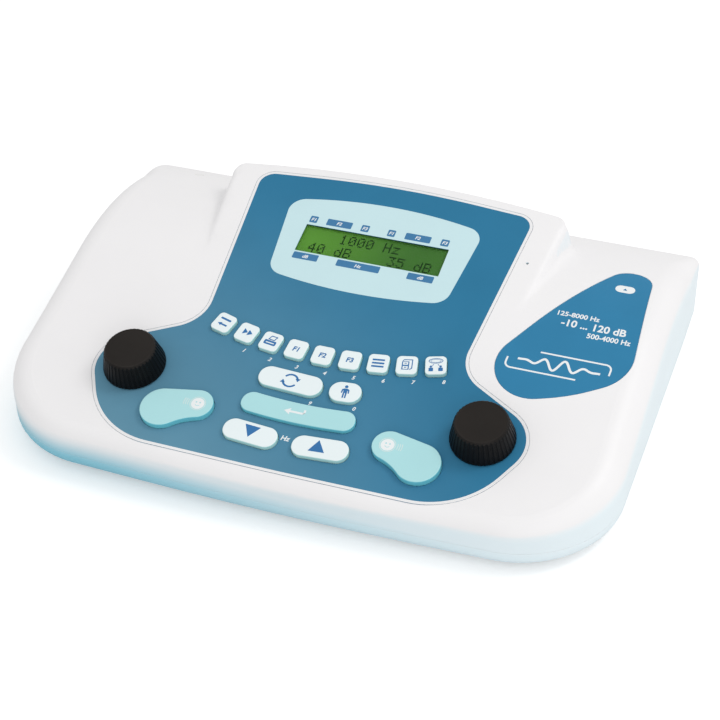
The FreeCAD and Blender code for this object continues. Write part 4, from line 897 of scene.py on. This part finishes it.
class Palette:
    """Every material of the audiometer, by its own name."""

    # housing and tray: white plastic with painted teal bounce light and shade low down and on the walls
    HOUSING = BounceShadedFinish("housing_plastic", srgb(244, 243, 244), 0.42, tone=0.012, bump_mm=0.006,
                          specular=0.3)
    TRAY = replace(HOUSING, name="tray_plastic")
    # overlay blue with a painted sheen towards its lower-left corner
    OVERLAY = SheenPaintedFinish("overlay_print", srgb(46, 121, 159), 0.6, tone=0.05, grain=3200.0, bump_mm=0.012,
                            specular=0.12)
    LABEL = Finish("wing_label_print", srgb(52, 130, 172), 0.6, tone=0.05, grain=3200.0, bump_mm=0.012,
                   specular=0.12)
    SURROUND = Finish("display_surround", srgb(203, 232, 237), 0.5, tone=0.02, grain=3200.0, specular=0.2)
    BLANK = Finish("wing_blank", srgb(226, 224, 220), 0.45, tone=0.02)
    BORDER = Finish("overlay_border", srgb(240, 240, 241), 0.5, tone=0.02)
    WHITE_INK = Finish("white_ink", srgb(240, 244, 245), 0.55, tone=0.03)
    PALE_INK = Finish("pale_ink", srgb(214, 233, 232), 0.55, tone=0.03)
    BLUE_INK = Finish("blue_ink", srgb(36, 112, 174), 0.5, tone=0.05)
    BOX_INK = Finish("label_box_ink", srgb(52, 120, 168), 0.5, tone=0.05)
    # keys and dials: their sides are painted deeper than their tops, as painted shade
    WHITE_KEY = SideShadedFinish("white_key", srgb(237, 247, 249), 0.4, tone=0.015, side=srgb(184, 228, 224))
    AQUA_KEY = SideShadedFinish("aqua_key", srgb(176, 226, 230), 0.4, tone=0.02, side=srgb(110, 200, 215))
    DIAL = SideShadedFinish("dial_plastic", srgb(36, 32, 29), 0.5, tone=0.2, spread=0.15, grain=1800.0, bump_mm=0.03,
                     specular=0.15, side=srgb(11, 12, 14))
    PANE = ClearFinish("clear_pane", srgb(60, 80, 60), 0.12, tone=0.0, bump_mm=0.0, specular=0.2)
    SCREEN = ScreenFinish("lcd_cell", srgb(92, 152, 54), 0.4, tone=0.1, specular=0.1)
    SEGMENT = Finish("lcd_dots", srgb(12, 44, 10), 0.5, tone=0.1, specular=0.1)
    LCD_METAL = Finish("lcd_metal", srgb(38, 40, 40), 0.4, metallic=0.6)
    LIGHT_GUIDE = Finish("backlight_guide", srgb(190, 220, 120), 0.35)
    LAMINATE = Finish("board_laminate", srgb(30, 96, 58), 0.4, tone=0.25, coat=0.3)
    BLACK = Finish("black_plastic", srgb(30, 30, 32), 0.45, tone=0.15, bump_mm=0.02)
    RUBBER = Finish("foot_rubber", srgb(38, 38, 40), 0.8, tone=0.2, bump_mm=0.03)
    STEEL = Finish("screw_steel", srgb(190, 190, 194), 0.32, metallic=1.0, tone=0.1, spread=0.2)
    NICKEL = Finish("nut_nickel", srgb(205, 203, 198), 0.2, metallic=1.0, tone=0.08, spread=0.15)
    PLATE = Finish("plate_paint", srgb(205, 209, 213), 0.5, tone=0.04, bump_mm=0.02)
    SLEEVE = Finish("can_sleeve", srgb(38, 44, 84), 0.25, tone=0.1)
    IRON = Finish("core_iron", srgb(120, 106, 84), 0.55, metallic=0.5, tone=0.25, spread=0.2)
    CABLE = Finish("cable_grey", srgb(176, 180, 184), 0.5, tone=0.1)

    def __init__(self) -> None:
        """Builds the shared groups and leaves the materials for later."""
        for make in (grain_group, side_shade_mask_group, bounce_shade_group):
            make()
        self.made: dict[str, bpy.types.Material] = {}

    def __getitem__(self, finish: Finish) -> bpy.types.Material:
        """The material of a finish, made on first use."""
        if finish.name not in self.made:
            self.made[finish.name] = finish.build()
        return self.made[finish.name]


NODE_FINISHES: dict[Finish, tuple[str, ...]] = {
    Palette.HOUSING: ("top_cover",),
    Palette.TRAY: ("base_tray",),
    Palette.OVERLAY: ("panel_overlay",),
    Palette.LABEL: ("wing_label",),
    Palette.PANE: ("display_pane",),
    Palette.SCREEN: ("lcd_glass",),
    Palette.LCD_METAL: ("lcd_frame",),
    Palette.LIGHT_GUIDE: ("lcd_backlight",),
    Palette.LAMINATE: ("lcd_board", "key_board", "main_board"),
    Palette.WHITE_KEY: (
        "key_back", "key_fast", "key_print", "key_f1", "key_f2", "key_f3", "key_menu", "key_file",
        "key_patients", "key_cycle", "key_person", "key_down", "key_up",
    ),
    Palette.AQUA_KEY: ("key_enter", "tone_key_left", "tone_key_right"),
    Palette.DIAL: ("knob_left", "knob_right"),
    Palette.RUBBER: ("rubber_feet",),
    Palette.STEEL: (
        "cover_screws", "lcd_screws", "key_board_screws", "main_board_screws", "dial_encoder_left",
        "dial_encoder_right", "serial_port",
    ),
    Palette.NICKEL: (
        "dial_shaft_left", "dial_shaft_right", "encoder_nuts", "connector_nuts", "clock_battery",
    ),
    Palette.PLATE: ("rear_plate",),
    Palette.SLEEVE: ("board_capacitors",),
    Palette.IRON: ("output_transformers",),
    Palette.CABLE: ("key_cable", "display_cable"),
}


# ------------------------------------------------------------------ key legends
ROW_CENTRE_Y_MM = 165.9


def arc_turn(place: Point) -> float:
    """Turn in degrees of print that follows the arcs of the key field."""
    return math.degrees(math.atan2(place[0], ROW_CENTRE_Y_MM - place[1]))


def arrow_outline(length: float, shaft: float, head: float) -> Loop:
    """Arrow that points to the left, about its own middle."""
    x, s, h = length / 2, shaft / 2, head / 2
    barb = -x + head * 0.8
    return [(-x, 0), (-x + head, -h), (barb, -s), (x, -s), (x, s), (barb, s), (-x + head, h)]


def back_icon() -> list[Shape]:
    """Arrow to the left under a bar."""
    return [[moved(arrow_outline(6.8, 1.2, 3.0), (0, -1.7))], [rounded_box((0, 2.6), 7.4, 1.4, 0.3)]]


def fast_icon() -> list[Shape]:
    """Two triangles one behind the other."""
    return [[[(x, -2.0), (x + 3.1, 0.3), (x, 2.6)]] for x in (-2.4, 0.9)]


def print_icon() -> list[Shape]:
    """Printer with a sheet of paper."""
    body = rounded_box((0, -1.2), 8.0, 3.4, 0.8)
    slot = rounded_box((0, -1.3), 5.6, 0.8, 0.2)
    paper = [(-2.4, 0.9), (2.0, 0.9), (3.2, 4.2), (-1.2, 4.2)]
    return [[body, slot], [paper, grown(paper, -0.6)]]


def menu_icon() -> list[Shape]:
    """Three bars."""
    return [[rounded_box((0, y), 7.6, 1.25, 0.3)] for y in (2.5, 0.0, -2.5)]


def file_icon() -> list[Shape]:
    """Cabinet with two drawers, seen from its corner."""
    front = [(-3.0, -3.6), (1.4, -3.6), (1.4, 2.6), (-3.0, 2.6)]
    drawers = [rounded_box((-0.8, y), 3.1, 2.2, 0.2) for y in (1.1, -2.0)]
    handles = [[rounded_box((-0.8, y), 1.4, 0.5, 0.1)] for y in (1.2, -1.9)]
    side = stroke([(1.9, -3.5), (3.2, -2.4), (3.2, 3.9), (-1.6, 3.9), (-2.7, 3.0)], 0.6)
    return [[front, *drawers], [side], *handles]


def patients_icon() -> list[Shape]:
    """Two people under a ring that joins them."""
    shapes: list[Shape] = []
    for grow in (0.0, -1.1):
        ring = [(x * (4.4 + grow), 3.2 + y * (2.0 + grow * 0.6)) for x, y in circle((0, 0), 1.0)]
        shapes.append([ring, [(x * 0.9, 3.2 + (y - 3.2) * 0.8) for x, y in ring]])
    for side in (-1, 1):
        shapes.append([rounded_box((side * 2.9, -3.3), 2.7, 2.6, 0.3)])
        shapes.append([circle((side * 2.9, -1.1), 0.8, 20)])
        shapes.append([stroke([(side * 2.0, -0.4), (side * 1.2, 0.6)], 0.4)])
    return shapes


def cycle_icon() -> list[Shape]:
    """Two arrows that chase each other round a ring."""
    radius = 4.5
    half = [stroke(arc((0, 0), radius, 25, 150, 16), 1.2), [(radius, 0.0), (2.7, 2.1), (5.9, 2.6)]]
    return [[moved(loop, (0, 0), turn)] for turn in (0, 180) for loop in half]


def person_icon() -> list[Shape]:
    """Standing figure."""
    body = [
        (-0.9, 2.4), (0.9, 2.4), (2.3, 1.6), (2.5, -1.0), (1.7, -1.1), (1.5, 0.9), (1.2, 0.9), (1.2, -4.6),
        (0.3, -4.6), (0.25, -1.0), (-0.25, -1.0), (-0.3, -4.6), (-1.2, -4.6), (-1.2, 0.9), (-1.5, 0.9),
        (-1.7, -1.1), (-2.5, -1.0), (-2.3, 1.6),
    ]
    return [[body], [circle((0, 3.8), 1.05, 24)]]


def enter_icon() -> list[Shape]:
    """Arrow that turns back to the left."""
    x = 6.6
    shape = [
        (-x, -0.4), (-x + 4.0, -2.8), (-x + 3.6, -1.1), (x - 1.3, -1.1), (x - 1.3, 2.4), (x, 2.4), (x, 0.3),
        (-x + 3.6, 0.3), (-x + 4.0, 2.0),
    ]
    return [[moved(shape, (-1.5, -0.2))]]


def triangle_icon(way: int) -> list[Shape]:
    """Triangle that points up or down."""
    return [[[(-5.0, -4.0 * way), (5.0, -4.0 * way), (0.0, 4.4 * way)]]]


def word_icon(text: str) -> Callable[[], list[Shape]]:
    """A short word as an icon."""
    return lambda: lettering(text, 3.5, (0, 0), lean=0.12, weight=0.045)


@dataclass(frozen=True)
class Legend:
    """Print on one key.

    Args:
        key: CAD node of the key.
        icon: Makes its outlines.
        finish: Ink.
        number: Digit beside the key, or nothing.
        number_at: Place of the digit from the key's middle.
        shift: Place of the print from the key's middle.
    """

    key: str
    icon: Callable[[], list[Shape]]
    finish: Finish = Palette.BLUE_INK
    number: str = ""
    number_at: Point = (5.0, -10.9)
    shift: Point = (0.0, 0.0)


LEGENDS: tuple[Legend, ...] = (
    Legend("key_back", back_icon),
    Legend("key_fast", fast_icon, number="1"),
    Legend("key_print", print_icon, number="2"),
    Legend("key_f1", word_icon("F1"), number="3"),
    Legend("key_f2", word_icon("F2"), number="4"),
    Legend("key_f3", word_icon("F3"), number="5"),
    Legend("key_menu", menu_icon, number="6"),
    Legend("key_file", file_icon, number="7"),
    Legend("key_patients", patients_icon, number="8"),
    Legend("key_cycle", cycle_icon, number="9", number_at=(17.1, -10.5)),
    Legend("key_person", person_icon, number="0", number_at=(7.7, -9.5)),
    Legend("key_enter", enter_icon, Palette.WHITE_INK),
    Legend("key_down", lambda: triangle_icon(-1), shift=(0.0, 1.0)),
    Legend("key_up", lambda: triangle_icon(1), shift=(-1.6, 0.8)),
)


@dataclass
class Keypad:
    """All print on the keys and the digits beside them."""

    panel: Panel
    palette: Palette
    number_height_mm: float = 2.7
    number_lean: float = 0.25
    unit_height_mm: float = 3.4
    unit_lean: float = 0.15
    unit_x_mm: float = -0.9
    unit_above_mm: float = 3.0
    weight: float = 0.04

    def build(self) -> None:
        """Prints every key."""
        numbers = Print("key_numbers", self.panel, level_mm=Overlay.TOP_MM)
        for legend in LEGENDS:
            place, height = self.panel.top(legend.key)
            turn = arc_turn(place)
            spot = moved([legend.shift], place, turn)[0]
            ink = Print(legend.key + "_legend", self.panel, level_mm=height)
            for shape in legend.icon():
                ink.add(*[moved(loop, spot, turn) for loop in shape])
            ink.build(legend.key + "_cap", self.palette[legend.finish])
            if legend.number:
                spot = moved([legend.number_at], place, turn)[0]
                numbers.add_shapes(lettering(legend.number, self.number_height_mm, spot, turn,
                                             lean=self.number_lean, weight=self.weight))
        (_, row_y), _ = self.panel.top("key_up")
        spot = (self.unit_x_mm, row_y + self.unit_above_mm)
        unit = lettering("Hz", self.unit_height_mm, spot, lean=self.unit_lean, weight=self.weight)
        numbers.add_shapes(unit)
        numbers.build("housing", self.palette[Palette.WHITE_INK])


@dataclass
class TonePaddles:
    """Round mark with sound arcs on each tone key."""

    panel: Panel
    palette: Palette
    spot_mm: Point = (59.9, -144.6)
    disc_mm: float = 4.1
    eye_mm: float = 0.55
    eye_at_mm: Point = (1.2, 0.9)
    halo_mm: float = 5.0
    halo_line_mm: float = 0.45
    waves: int = 3
    wave_mm: float = 6.2
    wave_step_mm: float = 1.3
    wave_line_mm: float = 0.5

    def build(self) -> None:
        """Prints both keys."""
        for side, word in ((-1, "left"), (1, "right")):
            node = "tone_key_" + word
            _, height = self.panel.top(node)
            spot = (side * self.spot_mm[0], self.spot_mm[1])
            mark = Print(node + "_mark", self.panel, level_mm=height)
            mark.add(circle(spot, self.disc_mm), *self.face(spot))
            mark.build(node + "_cap", self.palette[Palette.WHITE_INK])
            waves = Print(node + "_waves", self.panel, level_mm=height)
            halo = circle(spot, self.halo_mm)
            waves.add(halo, grown(halo, -self.halo_line_mm))
            for k in range(self.waves):
                reach = self.wave_mm + self.wave_step_mm * k
                spread = 20 - 2 * k
                middle = 0 if side > 0 else 180
                waves.add(stroke(arc(spot, reach, middle - spread, middle + spread, 8), self.wave_line_mm))
            waves.build(node + "_cap", self.palette[Palette.PALE_INK])

    def face(self, spot: Point) -> Shape:
        """Eyes and mouth, left open in the disc."""
        x, y = spot
        step, rise = self.eye_at_mm
        eyes = [circle((x + side * step, y + rise), self.eye_mm, 14) for side in (-1, 1)]
        return [*eyes, stroke(arc((x, y - 0.2), 1.5, 205, 335, 10), 0.4)]


# ------------------------------------------------------------------ overlay and display
@dataclass
class Overlay:
    """White margin of the panel overlay and everything printed round the display."""

    panel: Panel
    palette: Palette
    margin_mm: float = 1.8
    overhang_mm: float = 0.06
    window_mm: Point = (96.2, 23.1)
    window_round_mm: float = 0.3
    box_round_mm: float = 0.7
    mark_height_mm: float = 2.6
    TOP_MM = -0.1
    FIELD = [
        (65.6, 30.6, 11.0), (0.0, 43.3, 280.0), (-65.6, 30.6, 11.0),
        (-58.8, -31.9, 11.0), (0.0, -41.4, 310.0), (58.8, -31.9, 11.0),
    ]
    UPPER_BOXES = (
        (-45.0, 5.2, "F1"), (-27.4, 17.1, "F2"), (-9.8, 5.3, "F3"),
        (8.1, 5.0, "F1"), (25.9, 17.0, "F2"), (43.9, 5.3, "F3"),
    )
    LOWER_BOXES = ((-39.4, 17.0, "dB"), (-3.8, 28.8, "Hz"), (37.6, 17.1, "dB"))
    BOX_ROWS = ((UPPER_BOXES, 16.4, 5.6), (LOWER_BOXES, -15.4, 5.4))

    def build(self) -> None:
        """Prints the overlay."""
        self.border()
        self.surround()
        self.boxes()

    def border(self) -> None:
        """Plain margin along the overlay's edge."""
        edge = self.panel.outline("panel_overlay")
        if loop_area(edge) < 0:
            edge = edge[::-1]
        ring = Print("overlay_margin", self.panel, level_mm=self.TOP_MM)
        ring.add(grown(edge, self.overhang_mm), grown(edge, -self.margin_mm))
        ring.build("housing", self.palette[Palette.BORDER], "overlay_print")

    def surround(self) -> None:
        """Pale field round the display window."""
        sheet = Print("display_field", self.panel, level_mm=self.TOP_MM)
        sheet.add(rounded(self.FIELD, 24), rounded_box((0, 0), *self.window_mm, self.window_round_mm))
        sheet.build("housing", self.palette[Palette.SURROUND], "overlay_print")

    def boxes(self) -> None:
        """Small blue boxes above and below the window, with their marks."""
        boxes = Print("display_boxes", self.panel, level_mm=self.TOP_MM + INK_MM)
        marks = Print("display_box_marks", self.panel, level_mm=self.TOP_MM + 2 * INK_MM)
        for row, y, depth in self.BOX_ROWS:
            for x, width, text in row:
                boxes.add(rounded_box((x, y), width, depth, self.box_round_mm))
                marks.add_shapes(lettering(text, self.mark_height_mm, (x, y), lean=0.2, weight=0.03))
        boxes.build("housing", self.palette[Palette.BOX_INK], "overlay_print")
        marks.build("housing", self.palette[Palette.WHITE_INK], "overlay_print")


GLYPHS: dict[str, tuple[str, ...]] = {
    "0": ("01110", "10001", "10011", "10101", "11001", "10001", "01110"),
    "1": ("00100", "01100", "00100", "00100", "00100", "00100", "01110"),
    "3": ("11111", "00010", "00100", "00010", "00001", "10001", "01110"),
    "4": ("00010", "00110", "01010", "10010", "11111", "00010", "00010"),
    "5": ("11111", "10000", "11110", "00001", "00001", "10001", "01110"),
    "H": ("10001", "10001", "10001", "11111", "10001", "10001", "10001"),
    "z": ("00000", "00000", "11111", "00010", "00100", "01000", "11111"),
    "d": ("00001", "00001", "01101", "10011", "10001", "10001", "01111"),
    "B": ("11110", "10001", "10001", "11110", "10001", "10001", "11110"),
}


@dataclass
class Readout:
    """Dots of the two-line character display."""

    panel: Panel
    palette: Palette
    lines: tuple[str, str] = ("    1000 Hz     ", " 40 dB    35 dB ")
    dot_mm: Point = (0.86, 1.05)
    dot_pitch_mm: Point = (0.94, 1.16)
    cell_mm: Point = (5.95, 10.6)

    def build(self) -> None:
        """Sets the dots on the glass."""
        _, glass = self.panel.top("lcd_glass")
        dots = Print("lcd_readout", self.panel, level_mm=glass, thickness_mm=THIN_INK_MM)
        for row, line in enumerate(self.lines):
            for column, letter in enumerate(line):
                x = (column - (len(line) - 1) / 2) * self.cell_mm[0]
                y = (0.5 - row) * self.cell_mm[1]
                self.letter(dots, letter, x, y)
        dots.build("housing", self.palette[Palette.SEGMENT], "lcd_cell")

    def letter(self, dots: Print, letter: str, x: float, y: float) -> None:
        """Dots of one letter about its middle."""
        w, d = self.dot_mm[0] / 2, self.dot_mm[1] / 2
        for j, bits in enumerate(GLYPHS.get(letter, ())):
            for i, bit in enumerate(bits):
                if bit == "1":
                    a = x + (i - 2) * self.dot_pitch_mm[0]
                    b = y + (3 - j) * self.dot_pitch_mm[1]
                    dots.add([(a + w, b + d), (a - w, b + d), (a - w, b - d), (a + w, b - d)])


# ------------------------------------------------------------------ wing label
@dataclass
class WingLabel:
    """Plain print on the label of the right wing: a pill, two scales and a tone mark."""

    panel: Panel
    palette: Palette
    pill_at_mm: Point = (161.4, 12.0)
    pill_mm: Point = (12.2, 7.4)
    pill_mark_at_mm: Point = (161.4, 11.9)
    pill_mark: float = 0.28
    tone_start_mm: Point = (114.0, -60.0)
    tone_length_mm: float = 50.0
    tone_swing_mm: float = 4.2
    tone_cycles: int = 4
    tone_points: int = 120
    tone_line_mm: float = 1.5
    frame_line_mm: float = 1.1
    frame_bend_mm: float = 3.4
    thickness_mm: float = 0.06
    TEXTS = (
        ("125-8000 Hz", 3.7, (140.6, -20.4)),
        ("-10 ... 120 dB", 5.4, (151.6, -27.2)),
        ("500-4000 Hz", 3.7, (162.4, -34.0)),
    )

    def build(self) -> None:
        """Prints the label."""
        origin = self.panel.place(0, 0, 0)
        surface = Draped("wing_label", Vector((0, origin.y, 0)))
        ink = Print("wing_label_print", surface, thickness_mm=self.thickness_mm, drape_mm=5.0)
        mark = moved(triangle_icon(1)[0][0], self.pill_mark_at_mm, scale=self.pill_mark)
        ink.add(rounded_box(self.pill_at_mm, *self.pill_mm, 3.5), mark)
        for text, height, centre in self.TEXTS:
            ink.add_shapes(lettering(text, height, centre, weight=0.035))
        ink.add(stroke(self.tone(), self.tone_line_mm))
        for line in self.frame():
            ink.add(stroke(line, self.frame_line_mm))
        ink.build("housing", self.palette[Palette.WHITE_INK], "label_print")

    def tone(self) -> Loop:
        """A tone that swells and fades along a line."""
        x, y = self.tone_start_mm
        points = []
        for k in range(self.tone_points + 1):
            share = k / self.tone_points
            swing = self.tone_swing_mm * math.sin(math.pi * share) ** 2
            phase = TURN * self.tone_cycles * share
            points.append((x + self.tone_length_mm * share, y + swing * math.sin(phase)))
        return points

    def frame(self) -> tuple[Loop, Loop]:
        """Lines above and below the tone, each with one rounded corner."""
        upper = [(126.0, -52.6), *arc((166.0, -56.0), self.frame_bend_mm, 90, 0, 8), (169.2, -60.0)]
        lower = [(151.0, -67.4), *arc((111.0, -64.0), self.frame_bend_mm, 270, 180, 8), (107.8, -60.0)]
        return upper, lower


@dataclass
class SmallMarks:
    """On and off marks of the power rocker, and an oval blank in the left wing."""

    palette: Palette
    mark_mm: float = 2.6
    ring_line_mm: float = 0.35
    bar_line_mm: float = 0.4
    apart_mm: float = 3.8
    blank_mm: Point = (-153.8, 114.4)
    blank_size_mm: Point = (6.5, 4.0)
    blank_line_mm: float = 0.5

    def build(self) -> None:
        """Prints the marks."""
        low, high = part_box("power_rocker")
        face = Faced("power_rocker", (low + high) / 2)
        marks = Print("power_marks", face, thickness_mm=THIN_INK_MM, drape_mm=1.0)
        ring = circle((-self.apart_mm, 0), self.mark_mm / 2, 24)
        marks.add(ring, grown(ring, -self.ring_line_mm))
        marks.add(rounded_box((self.apart_mm, 0), self.bar_line_mm, self.mark_mm, 0.1))
        marks.build("power_rocker_body", self.palette[Palette.WHITE_INK])
        left, back = self.blank_mm
        width, depth = self.blank_size_mm
        oval = [(left + x * width / 2, back + y * depth / 2) for x, y in circle((0, 0), 1.0)]
        wing = Draped("top_cover", Vector((0, 0, 0)))
        blank = Print("wing_blank", wing, thickness_mm=THIN_INK_MM, drape_mm=2.0)
        blank.add(oval, grown(oval, -self.blank_line_mm))
        blank.build("housing", self.palette[Palette.BLANK])


# ------------------------------------------------------------------ stage
@dataclass
class Camera:
    """The one camera.

    Args:
        place: Place in metres.
        right: Its own x axis.
        up: Its own y axis.
        lens: Focal length on a 36 mm sensor.
    """

    place: Rgb = (0.3211, -0.8178, 0.6940)
    right: Rgb = (0.93906, 0.34300, -0.02300)
    up: Rgb = (-0.19148, 0.57760, 0.79350)
    lens: float = 86.83

    def build(self) -> None:
        """Makes it the scene's camera."""
        data = bpy.data.cameras.new("camera")
        data.lens = self.lens
        data.sensor_width = 36.0
        data.clip_end = 50.0
        right = Vector(self.right).normalized()
        back = right.cross(Vector(self.up)).normalized()
        up = back.cross(right)
        turn = Matrix((right, up, back)).transposed().to_4x4()
        camera = linked("camera", data)
        camera.matrix_world = Matrix.Translation(self.place) @ turn
        bpy.context.scene.camera = camera


@dataclass(frozen=True)
class Softbox:
    """A square area lamp that looks at the middle of the housing."""

    name: str
    place: Rgb
    size: float
    watts: float
    color: Rgb = (1.0, 1.0, 1.0)
    aim: Rgb = (0.0, 0.0, 0.04)

    def build(self) -> None:
        """Hangs the lamp."""
        data = bpy.data.lights.new(self.name, "AREA")
        data.size = self.size
        data.energy = self.watts
        data.color = self.color
        lamp = linked(self.name, data)
        turn = (Vector(self.place) - Vector(self.aim)).to_track_quat("Z", "Y").to_matrix().to_4x4()
        lamp.matrix_world = Matrix.Translation(self.place) @ turn


@dataclass
class Studio:
    """White floor, even surroundings and soft lamps."""

    lamps: tuple[Softbox, ...] = (
        Softbox("side_key", (1.2, 0.45, 1.8), 0.7, 9.0, (1.0, 0.985, 0.97)),
        Softbox("front_fill", (0.9, -1.5, 0.5), 1.0, 3.5),
    )
    ambient: float = 0.79
    floor_lift: float = 0.33
    floor_shade: float = 0.86
    floor_reach: float = 6.0

    def build(self) -> None:
        """Sets the stage."""
        for lamp in self.lamps:
            lamp.build()
        self.world()
        self.floor()
        bpy.context.scene.view_settings.view_transform = "Standard"

    def world(self) -> None:
        """Even light from all sides, white to the eye."""
        world = bpy.data.worlds.new("surroundings")
        bpy.context.scene.world = world
        nodes = emptied(world)
        background = nodes.add("Background")
        seen = nodes.add("LightPath").outputs["Is Camera Ray"]
        strength = nodes.math("MAXIMUM", seen, self.ambient)
        nodes.link(strength, background.inputs["Strength"])
        nodes.link(background.outputs[0], nodes.add("OutputWorld").inputs["Surface"])
        background.inputs["Color"].default_value = (1.0, 1.0, 1.0, 1.0)

    def floor(self) -> None:
        """White floor that keeps the soft shadow."""
        mesh = bpy.data.meshes.new("floor")
        reach = self.floor_reach
        corners = [(x * reach, y * reach, 0) for x, y in ((-1, -1), (1, -1), (1, 1), (-1, 1))]
        mesh.from_pydata(corners, [], [(0, 1, 2, 3)])
        floor = linked("floor", mesh)
        material = bpy.data.materials.new("floor_white")
        nodes = emptied(material)
        shade = self.floor_shade
        shader = nodes.add("BsdfDiffuse", Color=(shade, shade, shade, 1.0))
        glow = nodes.add("Emission")
        seen = nodes.add("LightPath").outputs["Is Camera Ray"]
        nodes.link(nodes.math("MULTIPLY", seen, self.floor_lift), glow.inputs["Strength"])
        both = nodes.add("AddShader")
        nodes.link(shader.outputs[0], both.inputs[0])
        nodes.link(glow.outputs[0], both.inputs[1])
        nodes.link(both.outputs[0], nodes.add("OutputMaterial").inputs["Surface"])
        mesh.materials.append(material)


# ------------------------------------------------------------------ the whole
def dress_nodes(palette: Palette) -> None:
    """Gives every CAD node its material.

    Args:
        palette: The materials.
    """
    finish_of = {node: finish for finish, names in NODE_FINISHES.items() for node in names}
    for name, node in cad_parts.items():
        material = palette[finish_of.get(name, Palette.BLACK)]
        node.data.materials.clear()
        node.data.materials.append(material)
        log.info("%s wears %s", name, material.name)


def main() -> None:
    """Builds the scene in order."""
    logging.basicConfig(level=logging.INFO, format="%(message)s")
    Camera().build()
    Studio().build()
    palette = Palette()
    dress_nodes(palette)
    panel = Panel()
    for part in (
        Overlay(panel, palette), Readout(panel, palette), Keypad(panel, palette), TonePaddles(panel, palette),
        WingLabel(panel, palette), SmallMarks(palette),
    ):
        part.build()
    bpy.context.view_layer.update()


if __name__ == "__main__":
    main()
